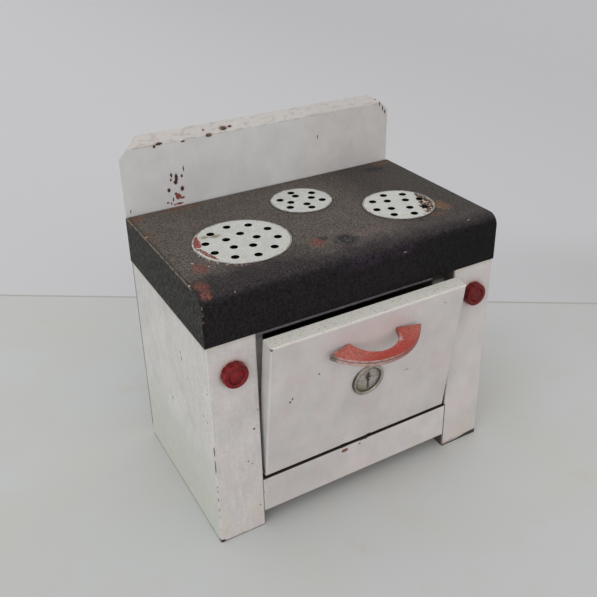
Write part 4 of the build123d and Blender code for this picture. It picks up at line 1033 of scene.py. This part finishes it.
def dress():
    """Gives every CAD node its material."""
    steel = metal("tinned_steel", (136, 135, 131), (120, 118, 114), 0.5, 0.8, stained=0.25)
    brushed = metal("guard_steel", (146, 144, 139), (116, 113, 108), 0.45, 0.85, brushed=(6, 6, 1))
    fastener = metal("zinc_fasteners", (150, 148, 142), (104, 100, 94), 0.42, 0.9)
    dull = metal("dull_steel", (74, 69, 64), (56, 51, 47), 0.6, 0.5)
    # the heater shelf: heat-darkened steel, also painted dark as the shade seen through the vent holes
    fired_and_shaded = metal("fired_steel", (36, 33, 31), (24, 21, 20), 0.7, 0.3)
    wire = metal("rack_wire", (140, 138, 134), (98, 92, 86), 0.4, 0.9)
    brass = metal("brass", (170, 138, 84), (116, 92, 58), 0.38, 0.9, stain=(84, 92, 70))
    bezel = bezel_metal()
    knob = knob_plastic()
    splash_chips = on_front(SPLASH_CHIPS, SPLASH_Y, SPLASH_DEEP)
    splash_primer = on_front(SPLASH_PRIMER, SPLASH_Y, SPLASH_DEEP)
    finishes = {
        "left_side_panel": enamel("left_panel_enamel", left_chips(), (), front_light_tint, left_paint),
        "right_side_panel": enamel("right_panel_enamel", (), (), front_light_tint, right_paint),
        "kick_panel": enamel("kick_enamel", KICK_CHIPS, KICK_PRIMER, kick_ground, kick_paint),
        "backsplash": enamel("backsplash_enamel", splash_chips, splash_primer, splash_ground, splash_paint),
        "door_panel": enamel("door_enamel", DOOR_CHIPS, (), front_light_tint, door_paint),
        "cooktop": wrinkle_paint(),
        "rear_panel": steel,
        "oven_liner": liner_steel(),
        "heater_shelf": fired_and_shaded,
        "inlet_guard": brushed,
        "oven_rack": wire,
        "door_handle": pull_paint(),
        "left_knob": knob,
        "right_knob": knob,
        "gauge_bezel": bezel,
        "gauge_cup": bezel,
        "gauge_dial": dial_face(),
        "gauge_pointer": plain("pointer_black", (38, 37, 36), (64, 60, 56), 0.5, 1.5),
        "gauge_staff": dull,
        "hinge_spacers": dull,
        "hinge_pins": dull,
        "stop_studs": dull,
        "bimetal_coil": brass,
        # the element plate: heat-darkened ceramic, also painted dark as the shade seen through the vent
        # holes
        "element_plate": plain("fired_ceramic", (64, 58, 52), (40, 36, 33), 0.8, 9.0, 0.2),
        "inlet_insulator": plain("glazed_ceramic", (210, 206, 196), (184, 176, 162), 0.35, 6.0),
        "heating_coil": metal("resistance_wire", (52, 47, 44), (36, 32, 30), 0.6, 0.6),
        "element_terminals": brass,
        "inlet_pins": brass,
        "element_leads": plain("glass_sleeving", (196, 188, 168), (150, 140, 118), 0.8, 1.2, 0.2),
    }
    for name, node in nodes.items():
        node.data.materials.clear()
        node.data.materials.append(finishes.get(name, fastener))


# Stage: a floor, and the ground beyond the joint in it
FLOOR_RADIUS = 14.0
SEAM_POINT = (397, 131)  # on the joint, in millimetres
SEAM_BEARING = -33.0  # degrees from +X
FLOOR_PALE = (187, 189, 188)
FLOOR_WARM = (186, 186, 182)
FLOOR_STAIN = (182, 176, 160)
BEYOND = (192, 192, 194)
BEYOND_RIGHT = (180, 180, 182)
SHADED = (168, 166, 167)
SEAM = (150, 148, 142)


def floor_paint():
    """The pale floor, with the joint behind the object and a shaded area at the right of it."""
    coat = Finish("pale_floor", roughness=0.7, specular=0.2)
    across = math.radians(SEAM_BEARING + 90)
    offset = coat.vector("SUBTRACT", coat.place, SEAM_POINT + (0,))
    beyond = coat.vector("DOT_PRODUCT", offset, (math.cos(across), math.sin(across), 0))
    colour = coat.lay(FLOOR_PALE, FLOOR_WARM, coat.patches(160, 4, 0.4, 0.7))
    colour = coat.lay(colour, FLOOR_STAIN, coat.patches(60, 5, 0.6, 0.8, shift=5), 0.5)
    far = coat.lay(BEYOND, BEYOND_RIGHT, coat.ramp(coat.x, 0, 1600))
    colour = coat.lay(colour, far, coat.ramp(beyond, -1, 3))
    shaded = coat.every(coat.within(beyond, -260, 60, 240), coat.ramp(coat.x, 300, 700))
    colour = coat.lay(colour, SHADED, shaded, 0.6)
    colour = coat.lay(colour, SEAM, coat.within(beyond, -2, 1, 1.5), 0.6)
    return coat.done(colour)


def add_floor():
    """A plain pale floor: a wide flat disc."""
    mesh = bpy.data.meshes.new("floor")
    disc = bmesh.new()
    bmesh.ops.create_circle(disc, cap_ends=True, segments=64, radius=FLOOR_RADIUS)
    disc.to_mesh(mesh)
    disc.free()
    floor = bpy.data.objects.new("floor", mesh)
    bpy.context.scene.collection.objects.link(floor)
    floor.data.materials.append(floor_paint())


# Light. A far light: where it comes from, its strength, its spread in degrees and its tint
WORLD_LIGHT = 0.75
BACKGROUND = (190, 190, 191)
LOOKING = ("Is Camera Ray", "Is Glossy Ray", "Is Transmission Ray")
NEUTRAL = (1, 1, 1)
FAR_LIGHTS = {
    "key": ((-0.95, -0.3, 0.5), 1.1, 60, (0.98, 1.0, 0.99)),
    "front": ((-0.15, -1.0, 0.25), 1.05, 70, (1.0, 0.92, 0.94)),
    "fill": ((0.9, 0.3, 0.35), 0.25, 70, NEUTRAL),
    "back": ((-0.6, 0.85, 0.25), 0.3, 70, NEUTRAL),
}


def add_far_light(name, towards, strength, spread, tint):
    """A soft light from far off, in the direction that it comes from."""
    data = bpy.data.lights.new(name, "SUN")
    data.energy = strength
    data.angle = math.radians(spread)
    data.color = tint
    light = bpy.data.objects.new(name, data)
    light.rotation_mode = "QUATERNION"
    light.rotation_quaternion = (-Vector(towards)).to_track_quat("-Z", "Y")
    bpy.context.scene.collection.objects.link(light)


def add_sky():
    """Even light from all round, which looks like the background to the camera and in reflections."""
    world = bpy.data.worlds.new("world")
    world.use_nodes = True
    sky = NodeTree(world.node_tree)
    soft = sky.tree.nodes["Background"]
    soft.inputs["Color"].default_value = NEUTRAL + (1,)
    soft.inputs["Strength"].default_value = WORLD_LIGHT
    seen = sky.node("Background", Color=linear(BACKGROUND))
    path = sky.node("LightPath")
    mix = sky.node("MixShader")
    sky.feed(mix.inputs[0], sky.either(*[path.outputs[name] for name in LOOKING]))
    sky.feed(mix.inputs[1], soft.outputs[0])
    sky.feed(mix.inputs[2], seen.outputs[0])
    sky.feed(sky.tree.nodes["World Output"].inputs["Surface"], mix.outputs[0])
    bpy.context.scene.world = world


add_camera()
dress()
add_floor()
add_sky()
for light_name, settings in FAR_LIGHTS.items():
    add_far_light(light_name, *settings)
bpy.context.scene.view_settings.view_transform = "Standard"
